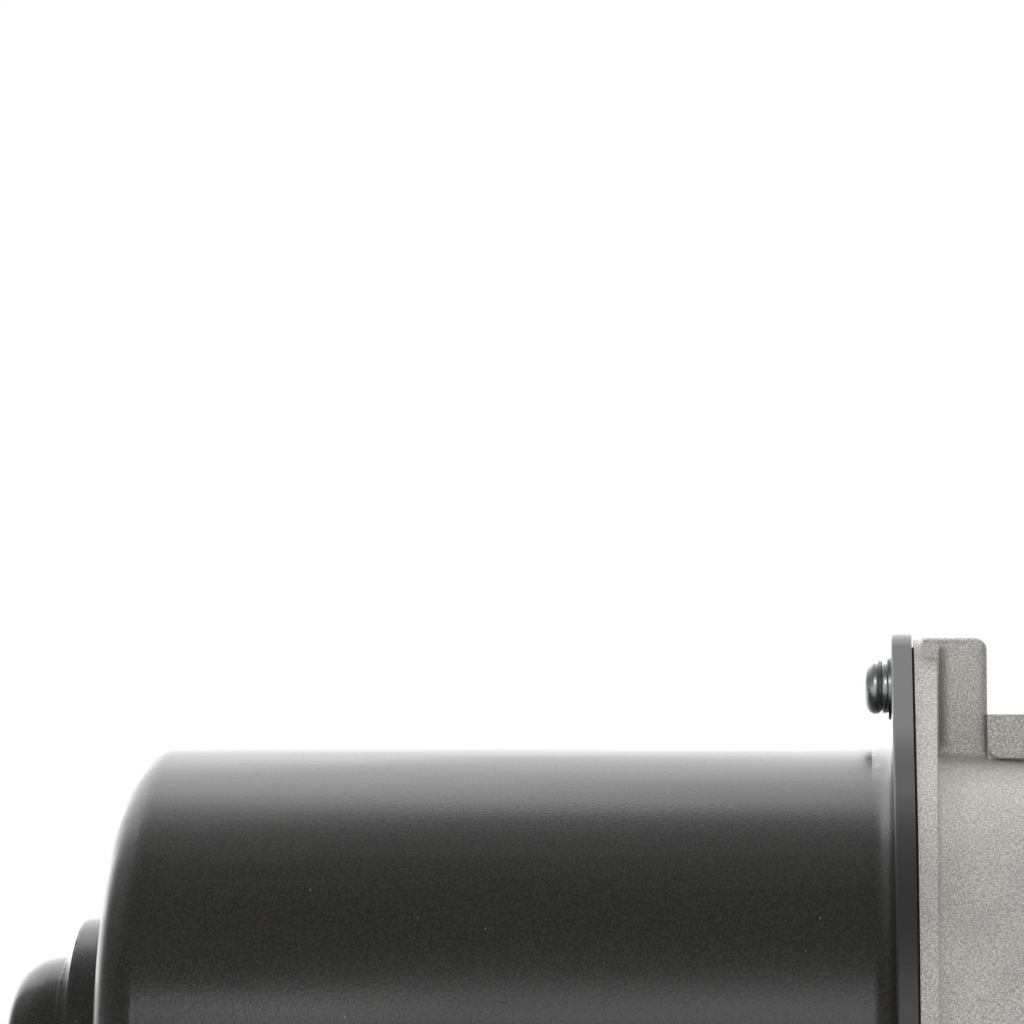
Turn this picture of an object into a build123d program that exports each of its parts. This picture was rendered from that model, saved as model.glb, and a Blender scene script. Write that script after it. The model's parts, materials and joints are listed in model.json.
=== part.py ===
from build123d import *
from math import acos, asin, cos, degrees, pi, radians, sin, tan
import os

# Two-speed wiper motor: a deep-drawn motor can flanged to a die-cast gear housing.
# Frame: the output shaft runs along Y through the origin and the crank is at +Y. The plane
# y = 0 is where the three mounting sleeves meet the vehicle. The motor runs along X, below
# the output shaft, with its closed end at -X. +Z points at the top ear of the motor flange.

# ---------------------------------------------------------------- general
near = 0.01                   # tolerance used when an edge is picked by its place
press_gap = 0.02              # radial gap of a pressed or glued piece
running_gap = 0.04            # radial gap of a shaft in its bush
slip_gap = 0.1                # gap of a sliding or dropped-in piece
touch_gap = 0.3               # gap between a still and a moving face

# ---------------------------------------------------------------- worm gear pair
gear_module = 1.25
wheel_teeth = 48
worm_pitch_r = 4.75
worm_leads = 8                # length of the worm in leads
pressure_angle = 20
tooth_play = 0.1              # thinning of each flank
root_depth = 1.2 * gear_module
wheel_face = 10.0
worm_lead = pi * gear_module
wheel_pitch_r = gear_module * wheel_teeth / 2
centre_distance = worm_pitch_r + wheel_pitch_r
worm_tip_r = worm_pitch_r + gear_module
worm_root_r = worm_pitch_r - root_depth
wheel_tip_r = wheel_pitch_r + gear_module
wheel_root_r = wheel_pitch_r - root_depth
lead_slope = worm_lead / (2 * pi * worm_pitch_r)

# ---------------------------------------------------------------- frame
joint_to_shaft = 58.0         # flange joint to output shaft, along X
motor_drop = 24.0             # motor axis to mounting plane, along Y
joint_x = -joint_to_shaft
axis_y = -motor_drop
axis_z = -centre_distance

# ---------------------------------------------------------------- motor can
can_r = 38.0
can_wall = 2.5
can_length = 97.0
shoulder_run = 5.75           # rounded end of the can, along the motor axis
shoulder_drop = 10.0          # and towards that axis
can_inner_corner_r = 6.2
step_r = 17.3
step_rim_r = 16.7
step_depth = 5.8
step_edge_r = 0.6
step_root_r = 2.0
step_dish = 2.05              # how far the end of the step slopes out to the cup
cup_r = 11.0
cup_foot_r = 12.0
cup_depth = 9.2
cup_edge_r = 6.0
cup_root_r = 0.6
can_bore_r = can_r - can_wall
step_end = can_length + step_depth
cup_end = step_end + cup_depth
cup_bore_r = cup_r - can_wall

# ---------------------------------------------------------------- flange joint
yoke_flange = 2.5
flange_width = 3.0
ear_count = 3
ear_pitch = 360 / ear_count
ear_r = 6.35
flange_bend_r = 2.5
sheet_edge_r = 0.4
gasket_sheet = 0.3
gasket_inset = 1.6
casting_inset = 0.65
screw_stand = 7.4             # side of the can to a screw's centre
flange_r = can_r + flange_width
screw_circle_r = can_r + screw_stand
ear_tip_r = screw_circle_r + ear_r
ear_lean = acos((flange_r - ear_r) / screw_circle_r)    # where an ear's sides leave the disc
screw_r = 2.0
screw_hole_r = 2.25
screw_head_r = 3.5
screw_head = 2.6
screw_head_dome = 1.3         # height of the dome on the head
screw_head_edge_r = 0.4
screw_reach = 11.0            # from under the washers to the tip
recess_width = 1.0
recess_span = 4.2
recess_depth = 1.6
spring_washer = 0.8
spring_washer_r = 3.4
spring_washer_cut = 0.9
spring_washer_edge_r = 0.25
plain_washer = 0.35
plain_washer_r = 4.2
washer_bore_r = 2.1

# ---------------------------------------------------------------- gear housing, motor side
housing_flange = 3.2          # joint plane to the back of the flange, at the ears
flange_draft = 0.9            # how much thinner the flange is at its sides
flange_side = housing_flange - flange_draft * ear_tip_r / flange_r
neck_step = 1.0               # side of the can to the neck
neck_taper = 0.8
neck_end = 18.5
neck_end_edge_r = 5.0
neck_root_r = 1.6             # where the neck leaves the back of the flange
neck_foot = 23.5
neck_foot_root_r = 3.0
neck_wall = 4.0
chamber_taper = 1.5
neck_r = can_r - neck_step
neck_end_r = neck_r - neck_taper
chamber_r = neck_r - neck_wall
chamber_inner_r = chamber_r - chamber_taper
chamber_end = 14.5
chamber_corner_r = 2.5
tunnel_start_r = 12.6
tunnel_end_r = 11.5
tunnel_end = 98.0
tunnel_edge_r = 1.0
tunnel_bore_r = 8.0
tunnel_bore_start = 27.0
boss_start = housing_flange - 2 * flange_draft
boss_end = 9.2
boss_half_width = 5.0
boss_root_r = 0.8             # blend between a boss, the flange and the neck
boss_corner_r = 1.5
boss_sink = 4.0               # how far the boss reaches into the neck
boss_edge_r = 0.9
boss_top = ear_tip_r - casting_inset
web_rise = 4.55               # the web stands out of the neck
web_depth = 8.55
web_top = neck_r + web_rise
web_bottom = web_top - web_depth
web_start = 9.1
web_half_width = 6.2
pad_depth = 5.35              # the web's upper part stands out on both sides
pad_bottom = web_top - pad_depth
pad_half_width = 7.6
pad_corner_r = 1.75
pad_edge_r = 0.4
screw_bore_depth = 9.0

# ---------------------------------------------------------------- gear housing, gear side
bowl_clearance = 1.75
bowl_wall = 3.0
bowl_r = wheel_tip_r + bowl_clearance + bowl_wall
bowl_bore_r = wheel_tip_r + bowl_clearance
floor_top = -6.5
floor_sheet = 3.5
floor_inner = floor_top - floor_sheet
rim_drop = 14.0               # motor axis to the open rim of the bowl
rim_level = axis_y - rim_drop
bowl_floor_edge_r = 2.5
shaft_boss_r = 12.5
shaft_boss_top_r = 11.0
shaft_boss_top = 18.0
shaft_boss_edge_r = 1.0
floor_rib_count = 6
floor_rib_sheet = 3.0
floor_rib_reach = 31.0
floor_rib_foot = 2.0          # height of a rib at its outer end
floor_rib_top = 9.0           # level of a rib at the boss

# ---------------------------------------------------------------- mounting lugs
lug_count = 3
lug_r = 11.0
lug_sheet = 5.2
lug_root = 27.0
lug_edge_r = 0.8
grommet_flange = 2.5
grommet_flange_r = 8.2
grommet_neck_r = 6.5
grommet_edge_r = 0.6
grommet_clearance = 2.8       # bowl to the outer flange of a grommet
lug_circle_r = bowl_r + grommet_clearance + grommet_flange_r
sleeve_stand = 0.6            # how far a sleeve stands out of its grommet
sleeve_r = 4.6
sleeve_bore_r = 3.2
lug_top = -(sleeve_stand + grommet_flange)
lug_bottom = lug_top - lug_sheet
gusset_sheet = 2.4
gusset_drop = 13.0

# ---------------------------------------------------------------- gear cover
cover_screw_count = 4
cover_screw_turn = 45
cover_screw_circle_r = 40.5
cover_boss_r = 4.6
cover_boss_drop = 15.0
cover_ear_r = 5.2
cover_r = 37.6
cover_seal_sheet = 0.6
cover_sheet = 2.5
cover_edge_r = 0.8
dome_r = 27.0
dome_top_r = 25.0
dome_height = 3.5
dome_edge_r = 1.2
cover_level = rim_level - cover_seal_sheet
cover_outer = cover_level - cover_sheet
dome_outer = cover_outer - dome_height
cover_screw_r = 1.9
cover_screw_head_r = 3.6
cover_screw_head = 2.4
cover_screw_washer_r = 4.6
cover_screw_washer = 0.9
cover_screw_reach = 12.0
cover_hole_r = 2.2

# ---------------------------------------------------------------- connector
pin_count = 5
pin_pitch = 5.0
pin_width = 2.8
pin_sheet = 0.8
pin_reach = 12.0
shroud_wall = 1.8
shroud_depth = 17.0
shroud_inner_height = 10.0
shroud_start = 14.0
shroud_end = 50.0
shroud_centre = 4.0           # height of the connector above the output shaft
shroud_edge_r = 1.5
shroud_inner_width = pin_count * pin_pitch + 2.0
shroud_width = shroud_inner_width + 2 * shroud_wall
shroud_height = shroud_inner_height + 2 * shroud_wall
shroud_mid = cover_outer - shroud_height / 2
latch_width = 7.0
latch_length = 5.0
latch_height = 1.6
pin_tail = 6.0

# ---------------------------------------------------------------- magnets
magnet_sheet = 8.0
magnet_overhang = 3.0         # how far the magnets reach past the core
magnet_gap = 24.0
magnet_edge_r = 1.0
clip_sheet = 0.6
clip_inset = 3.0              # how far the clips stop short of the magnets' ends
clip_tab = 5.0
magnet_r = can_bore_r - press_gap
magnet_bore_r = magnet_r - magnet_sheet

# ---------------------------------------------------------------- armature
air_gap = 0.7
core_end = -35.0
slot_count = 12
slot_depth = 9.0
slot_width = 5.0
slot_mouth = 2.0
slot_corner_r = 1.6
slot_floor_r = 12.5
slot_liner = 0.15
insulator_sheet = 0.8
coil_overhang = 11.0
coil_end_gap = 3.7            # end turns to the closed end of the can
coil_outer_r = 23.5
coil_inner_r = 9.0
coil_edge_r = 4.5
core_r = magnet_bore_r - air_gap
core_start = -can_length + can_wall + coil_end_gap + coil_overhang + insulator_sheet
core_length = core_end - core_start
magnet_start = core_start - magnet_overhang
magnet_length = core_end + magnet_overhang - magnet_start
clip_length = magnet_length - 2 * clip_inset
clip_mid = magnet_start + magnet_length / 2
shaft_r = 5.0
rear_journal_r = 4.0
mid_journal_r = worm_tip_r + press_gap + 2 * running_gap
end_journal_r = 3.0
shaft_tail_gap = 0.9
shaft_tail = -cup_end + can_wall + shaft_tail_gap
mid_journal_start = -20.0
mid_journal_end = 26.0
worm_neck_r = 4.0
end_journal_start = 77.0
shaft_tip = 92.0
shaft_chamfer = 0.6

# ---------------------------------------------------------------- commutator
bar_count = 12
bar_gap = 0.6
bar_r = 11.0
bar_bore_r = 8.4
bar_start = 0.5
bar_end = 12.9
riser_r = 12.6
riser_length = 2.4
moulding_overhang = 0.5

# ---------------------------------------------------------------- bearings
rear_bush_edge_r = 1.0
felt_sheet = 2.4
retainer_sheet = 0.5
retainer_bore_r = 6.5
mid_bush_r = 8.6
mid_bush_start = 15.6
mid_bush_length = 8.0
mid_shoulder_r = 7.2
slinger_sheet = 0.8
slinger_r = 9.5
end_bush_r = 5.6
end_bush_length = 11.0
end_bush_start = 79.0
thrust_pad_sheet = 2.0
thrust_screw_r = 4.0
thrust_screw_gap = 0.05
thrust_screw_reach = 13.0
thrust_slot = 1.2
thrust_slot_depth = 1.6
locknut_r = 7.5
locknut_height = 4.0
hex_edge = 0.5

# ---------------------------------------------------------------- brush gear
brush_turns = (90, 270, 210)  # direction of each brush about the motor axis
brush_width = 7.0
brush_height = 5.6
brush_length = 9.5
box_sheet = 0.6
box_gap = 0.12
box_start_r = 14.0
box_clearance = 1.9           # brush boxes to the chamber's wall
box_end_r = chamber_inner_r - box_clearance
brush_plate_sheet = 2.0
brush_plate_bore_r = 13.6
brush_seat = 5.3
spring_wire_r = 0.28
spring_r = 2.0
spring_turns = 6
choke_r = 3.0
choke_length = 15.0
choke_core_r = 1.6
choke_core_length = 19.0
choke_seat_r = 21.5
choke_turns = (30, 330)
breaker_turn = 150
breaker_width = 14.0
breaker_height = 6.0
breaker_depth = 7.0
breaker_seat_r = 23.0
brush_start_r = bar_r + touch_gap
box_depth = brush_height + 2 * (box_gap + box_sheet)
box_width = brush_width + 2 * (box_gap + box_sheet)
brush_mid = brush_seat + box_depth / 2

# ---------------------------------------------------------------- output shaft
output_r = 6.0
output_bush_r = 8.0
output_bush_length = 10.0
output_bottom = -34.0
thrust_washer = 1.2
thrust_washer_r = 10.5
hub_r = 10.0
hub_top = floor_inner - thrust_washer - 2 * touch_gap
web_sheet = 3.0
wheel_rib_count = 6
rim_sheet = 4.0
wheel_top = axis_y + wheel_face / 2
wheel_bottom = axis_y - wheel_face / 2
hub_bottom = wheel_bottom - 1.0
park_disc_r = 25.0
park_disc_bore_r = 11.5
park_disc_sheet = 0.6
park_notch = 50               # angle of the gap in the outer track
park_track_r = 18.5
seal_washer = 0.5
seal_washer_r = 9.0
circlip_sheet = 1.0
circlip_r = 8.2
circlip_groove_r = 5.2
circlip_gap_width = 3.0
groove_slack = 0.1
taper_start = 20.6
taper_end = 26.6
taper_end_r = 4.9
thread_r = 4.0
thread_top = 38.0

# ---------------------------------------------------------------- crank
crank_length = 45.0
crank_hub_r = 11.0
crank_tip_r = 8.5
crank_sheet = 4.0
crank_base = 21.2
crank_hub_height = 5.8
crank_edge_r = 0.8
crank_washer = 1.6
crank_washer_r = 7.4
crank_nut_r = 7.5
crank_nut_height = 6.5
stud_collar_r = 6.5
stud_collar = 1.6
stud_shank_r = 4.0
stud_neck_r = 4.4
stud_neck = 2.5
ball_r = 8.0
rivet_r = 6.0
rivet_height = 1.4
crank_top = crank_base + crank_hub_height
crank_plate_base = crank_base + (crank_hub_height - crank_sheet) / 2
crank_plate_top = crank_plate_base + crank_sheet

# ---------------------------------------------------------------- park contacts
leaf_count = 3
leaf_sheet = 0.4
leaf_width = 3.6
leaf_pitch = 5.0
leaf_foot = 9.0
leaf_tip = 5.0
leaf_bend_r = 1.0
leaf_reach = 20.0
leaf_start = -15.0

motor_plane = Plane(origin=(joint_x, axis_y, axis_z), x_dir=(1, 0, 0), z_dir=(0, -1, 0))
motor_axis = Axis((joint_x, axis_y, axis_z), (1, 0, 0))
output_plane = Plane.XY


def station(distance, turn=0):
    """Plane across the motor axis, measured from the flange joint and facing the gear case."""
    across = Plane(origin=(joint_x + distance, axis_y, axis_z), x_dir=(0, 1, 0), z_dir=(1, 0, 0))
    return Plane(across.location * Rotation(0, 0, turn))


def motor_side(turn):
    """Plane through the motor axis, with its y axis turned away from the top ear."""
    return Plane(motor_plane.location * Rotation(turn, 0, 0))


def level(height, turn=0):
    """Plane across the output shaft at a height above the mounting plane."""
    across = Plane(origin=(0, height, 0), x_dir=(1, 0, 0), z_dir=(0, 1, 0))
    return Plane(across.location * Rotation(0, 0, turn))


def upright(turn):
    """Plane through the output shaft, its x axis pointing outward and its y axis at the crank."""
    return Plane(output_plane.location * Rotation(0, turn, 0))


def rounded_face(*corners):
    """Closed face through (x, y, corner radius) points, in the sketch that is open."""
    with BuildLine() as outline:
        FilletPolyline(
            [(x, y) for x, y, _ in corners], radius=[r for _, _, r in corners], close=True
        )
    make_face(outline.edges())


def ring(outer_r, inner_r):
    """Flat ring in the sketch that is open."""
    Circle(outer_r)
    Circle(inner_r, mode=Mode.SUBTRACT)


def eared_outline(inset):
    """Round flange with three screw ears whose sides run off the disc, in the open sketch."""
    disc_r = flange_r - inset
    tip_r = ear_r - inset
    disc_x = disc_r * cos(ear_lean)
    disc_y = disc_r * sin(ear_lean)
    tip_x = screw_circle_r + tip_r * cos(ear_lean)
    tip_y = tip_r * sin(ear_lean)
    Circle(disc_r)
    with PolarLocations(screw_circle_r, ear_count, start_angle=90):
        Circle(tip_r)
    with PolarLocations(0, ear_count, start_angle=90):
        Polygon(
            (0, 0), (disc_x, -disc_y), (tip_x, -tip_y), (tip_x, tip_y), (disc_x, disc_y), align=None
        )


def screw_holes(radius):
    """The holes of the three flange screws, cut from the sketch that is open."""
    with PolarLocations(screw_circle_r, ear_count, start_angle=90):
        Circle(radius, mode=Mode.SUBTRACT)


def circles_at(shape, distance, radius):
    """Circular edges about the motor axis at one station and radius."""
    rims = shape.edges().filter_by(GeomType.CIRCLE)
    return [
        rim
        for rim in rims
        if abs(rim.radius - radius) < near and abs(rim.arc_center.X - joint_x - distance) < near
    ]


# ================================================================ motor
with BuildPart() as motor_can:
    with BuildSketch(station(0)):
        eared_outline(0)
        Circle(can_bore_r, mode=Mode.SUBTRACT)
        screw_holes(screw_hole_r)
    extrude(amount=-yoke_flange)
    fillet(faces().sort_by(Axis.X)[0].outer_wire().edges(), sheet_edge_r)
    with BuildSketch(motor_plane):
        rounded_face(
            (0, can_r, 0),
            (-can_length, can_r, 0),
            (-can_length, step_r, step_root_r),
            (-step_end, step_rim_r, step_edge_r),
            (-step_end - step_dish, cup_foot_r, cup_root_r),
            (-cup_end, cup_r, cup_edge_r),
            (-cup_end, 0, 0),
            (-cup_end + can_wall, 0, 0),
            (-cup_end + can_wall, cup_bore_r, cup_edge_r - can_wall),
            (-step_end + can_wall, cup_bore_r, 0),
            (-step_end + can_wall, step_r - can_wall, 0),
            (-can_length + can_wall, step_r - can_wall, 0),
            (-can_length + can_wall, can_bore_r, can_inner_corner_r),
            (0, can_bore_r, 0),
        )
        with BuildLine() as shoulder:
            bend = EllipticalCenterArc(
                (-can_length + shoulder_run, can_r - shoulder_drop),
                shoulder_run,
                shoulder_drop,
                start_angle=90,
                arc_size=90,
            )
            Polyline(bend @ 0, (-can_length, can_r), bend @ 1)
        make_face(shoulder.edges(), mode=Mode.SUBTRACT)
    revolve(axis=motor_axis)
    fillet(circles_at(motor_can.part, -yoke_flange, can_r), flange_bend_r)
motor_can.part.label = "motor_can"

with BuildPart() as joint_gasket:
    with BuildSketch(station(0)):
        eared_outline(gasket_inset)
        Circle(can_bore_r, mode=Mode.SUBTRACT)
        screw_holes(screw_hole_r)
    extrude(amount=gasket_sheet)
joint_gasket.part.label = "joint_gasket"

with BuildPart() as magnets:
    with BuildSketch(station(magnet_start)):
        ring(magnet_r, magnet_bore_r)
        Rectangle(2 * can_r, magnet_gap, mode=Mode.SUBTRACT)
        fillet(vertices(), magnet_edge_r)
    extrude(amount=magnet_length)
magnets.part.label = "magnets"

with BuildPart() as magnet_clips:
    with BuildSketch(station(clip_mid - clip_length / 2)):
        ring(magnet_r, magnet_r - clip_sheet)
        Rectangle(2 * can_r, magnet_gap - 2 * slip_gap, mode=Mode.INTERSECT)
        tab_y = magnet_gap / 2 - slip_gap - clip_sheet / 2
        tab_x = magnet_r * cos(tab_y / magnet_r) - clip_tab / 2 - magnet_edge_r * 2
        with Locations(*[(x, y) for x in (-tab_x, tab_x) for y in (-tab_y, tab_y)]):
            Rectangle(clip_tab, clip_sheet)
    extrude(amount=clip_length)
magnet_clips.part.label = "magnet_clips"

rear_bush_start = -cup_end + can_wall + slip_gap

with BuildPart() as rear_bush:
    with BuildSketch(motor_plane):
        rounded_face(
            (rear_bush_start, cup_bore_r - press_gap, cup_edge_r - can_wall),
            (rear_bush_start, rear_journal_r + running_gap, 0),
            (-step_end + can_wall, rear_journal_r + running_gap, 0),
            (-step_end + can_wall, cup_bore_r - press_gap, rear_bush_edge_r),
        )
    revolve(axis=motor_axis)
rear_bush.part.label = "rear_bush"

with BuildPart() as felt_ring:
    with BuildSketch(station(-step_end + can_wall)):
        ring(step_r - can_wall - slip_gap, retainer_bore_r)
    extrude(amount=felt_sheet)
felt_ring.part.label = "felt_ring"

with BuildPart() as bush_retainer:
    with BuildSketch(station(-step_end + can_wall + felt_sheet)):
        ring(step_r - can_wall - press_gap, retainer_bore_r)
    extrude(amount=retainer_sheet)
bush_retainer.part.label = "bush_retainer"


# ================================================================ armature
def worm_section():
    """One turn of the worm across its axis: a tooth on +x and the root circle elsewhere."""

    def half_angle(radius):
        flank = (radius - worm_pitch_r) * tan(radians(pressure_angle))
        half_width = worm_lead / 4 - tooth_play - flank
        return 2 * pi * half_width / worm_lead

    steps = 6
    radii = [worm_root_r + (worm_tip_r - worm_root_r) * i / steps for i in range(steps + 1)]
    upper = [(r * cos(half_angle(r)), r * sin(half_angle(r))) for r in radii]
    lower = [(x, -y) for x, y in upper]
    with BuildLine() as outline:
        Spline(*upper)
        Spline(*lower)
        ThreePointArc(upper[-1], (worm_tip_r, 0), lower[-1])
        ThreePointArc(upper[0], (-worm_root_r, 0), lower[0])
    make_face(outline.edges())


worm_length = worm_leads * worm_lead
worm_start = joint_to_shaft - worm_length / 2
worm_end = joint_to_shaft + worm_length / 2
worm_run_out = worm_tip_r - worm_root_r

with BuildSketch(station(worm_start, turn=-90)) as worm_tooth:
    worm_section()

worm_turn = Solid.extrude_linear_with_rotation(
    worm_tooth.sketch.faces()[0],
    center=Vector(joint_x + worm_start, axis_y, axis_z),
    normal=Vector(worm_lead, 0, 0),
    angle=360,
)

with BuildPart() as armature_shaft:
    for lead in range(worm_leads):
        add(worm_turn.moved(Location((lead * worm_lead, 0, 0))), clean=False)
    # the thread runs out on a cone at each end
    with BuildSketch(motor_plane):
        for thread_end, inward in ((worm_start, worm_run_out), (worm_end, -worm_run_out)):
            rounded_face(
                (thread_end, worm_root_r, 0),
                (thread_end, worm_tip_r + worm_run_out, 0),
                (thread_end + inward, worm_tip_r + worm_run_out, 0),
                (thread_end + inward, worm_tip_r, 0),
            )
    revolve(axis=motor_axis, mode=Mode.SUBTRACT, clean=False)
    with BuildSketch(motor_plane):
        rounded_face(
            (shaft_tail, 0, 0),
            (shaft_tail, rear_journal_r, shaft_chamfer),
            (-step_end + can_wall + felt_sheet, rear_journal_r, 0),
            (-step_end + can_wall + felt_sheet, shaft_r, 0),
            (mid_journal_start, shaft_r, 0),
            (mid_journal_start, mid_journal_r, shaft_chamfer),
            (mid_journal_end, mid_journal_r, 0),
            (worm_start - worm_run_out, worm_neck_r, 0),
            (worm_start, worm_root_r, 0),
            (worm_start, 0, 0),
        )
        rounded_face(
            (worm_end, 0, 0),
            (worm_end, worm_root_r, 0),
            (end_journal_start, worm_root_r, 0),
            (end_journal_start, end_journal_r, 0),
            (shaft_tip, end_journal_r, end_journal_r / 2),
            (shaft_tip, 0, 0),
        )
    revolve(axis=motor_axis, clean=False)
armature_shaft.part.label = "armature_shaft"


def slots(play, mode=Mode.ADD):
    """The winding slots, smaller by a play all round, in the sketch that is open."""
    with PolarLocations(slot_floor_r + slot_depth / 2, slot_count):
        RectangleRounded(
            slot_depth - 2 * play, slot_width - 2 * play, slot_corner_r, mode=mode
        )


with BuildPart() as armature_core:
    with BuildSketch(station(core_start)):
        ring(core_r, shaft_r + press_gap)
        slots(0, mode=Mode.SUBTRACT)
        with PolarLocations(core_r, slot_count):
            Rectangle(2 * (core_r - slot_floor_r - slot_depth / 2), slot_mouth, mode=Mode.SUBTRACT)
    extrude(amount=core_length)
armature_core.part.label = "armature_core"

with BuildPart() as end_insulators:
    with BuildSketch(station(core_start - insulator_sheet), station(core_end)):
        ring(coil_outer_r + insulator_sheet, shaft_r + press_gap)
        slots(0, mode=Mode.SUBTRACT)
    extrude(amount=insulator_sheet)
end_insulators.part.label = "end_insulators"

coil_rear = core_start - insulator_sheet
coil_front = core_end + insulator_sheet

with BuildPart() as windings:
    with BuildSketch(station(coil_rear)):
        slots(slot_liner)
    extrude(amount=coil_front - coil_rear)
    with BuildSketch(motor_plane):
        for inner, overhang in ((coil_rear, -coil_overhang), (coil_front, coil_overhang)):
            rounded_face(
                (inner, coil_inner_r, 0),
                (inner + overhang, coil_inner_r, coil_edge_r),
                (inner + overhang, coil_outer_r, coil_edge_r),
                (inner, coil_outer_r, 0),
            )
    revolve(axis=motor_axis)
windings.part.label = "windings"

with BuildPart() as commutator_bars:
    with BuildSketch(motor_plane):
        rounded_face(
            (bar_start, bar_bore_r, 0),
            (bar_start, riser_r, 0),
            (bar_start + riser_length, riser_r, 0),
            (bar_start + riser_length, bar_r, 0),
            (bar_end, bar_r, 0),
            (bar_end, bar_bore_r, 0),
        )
    revolve(axis=motor_axis)
    with BuildSketch(station(bar_start)):
        with PolarLocations(0, bar_count):
            Rectangle(2 * riser_r, bar_gap, align=(Align.MIN, Align.CENTER))
    extrude(amount=bar_end - bar_start, mode=Mode.SUBTRACT)
commutator_bars.part.label = "commutator_bars"

with BuildPart() as commutator_moulding:
    with BuildSketch(station(bar_start - moulding_overhang)):
        ring(bar_bore_r - press_gap, mid_journal_r + press_gap)
    extrude(amount=bar_end - bar_start + 2 * moulding_overhang)
commutator_moulding.part.label = "commutator_moulding"

with BuildPart() as slinger:
    with BuildSketch(station(bar_end + moulding_overhang)):
        ring(slinger_r, mid_journal_r + press_gap)
    extrude(amount=slinger_sheet)
slinger.part.label = "slinger"


# ================================================================ gear housing
def off_motor(edge):
    """Distance of an edge's middle from the motor axis."""
    middle = edge @ 0.5
    return Vector(0, middle.Y - axis_y, middle.Z - axis_z).length


def off_shaft(edge):
    """Distance of an edge's middle from the output shaft's axis."""
    middle = edge @ 0.5
    return Vector(middle.X, 0, middle.Z).length


def lug_outline():
    """The three mounting lugs with their arms, in the sketch that is open."""
    with PolarLocations(0, lug_count):
        Rectangle(lug_circle_r, 2 * lug_r, align=(Align.MIN, Align.CENTER))
    with PolarLocations(lug_circle_r, lug_count):
        Circle(lug_r)
    Circle(lug_root, mode=Mode.SUBTRACT)


with BuildPart() as lugs:
    with BuildSketch(level(lug_top)):
        lug_outline()
    extrude(amount=-lug_sheet)
    rims = faces().group_by(Axis.Y)[0].edges() + faces().group_by(Axis.Y)[-1].edges()
    fillet([rim for rim in rims if off_shaft(rim) > bowl_bore_r], lug_edge_r)

with BuildPart() as ear_boss:
    with BuildSketch(motor_plane):
        rounded_face(
            (boss_start, neck_r - boss_sink, 0),
            (boss_start, boss_top, 0),
            (boss_end, boss_top, boss_corner_r),
            (boss_end, neck_r - boss_sink, 0),
        )
    extrude(amount=boss_half_width, both=True)
    fillet(
        [
            edge
            for edge in edges()
            if abs(abs(edge.center().Y - axis_y) - boss_half_width) < near
            and edge.center().X > joint_x + housing_flange
            and edge.center().Z > axis_z + neck_r
        ],
        boss_edge_r,
    )

with BuildPart() as web_pad:
    with BuildSketch(motor_plane):
        rounded_face(
            (web_start, pad_bottom, pad_corner_r),
            (web_start, web_top, 0),
            (joint_to_shaft - bowl_bore_r, web_top, 0),
            (joint_to_shaft - bowl_bore_r, pad_bottom, 0),
        )
    extrude(amount=pad_half_width, both=True)
    fillet(faces().group_by(Axis.Z)[-1].edges().filter_by(Axis.X), pad_edge_r)

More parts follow.
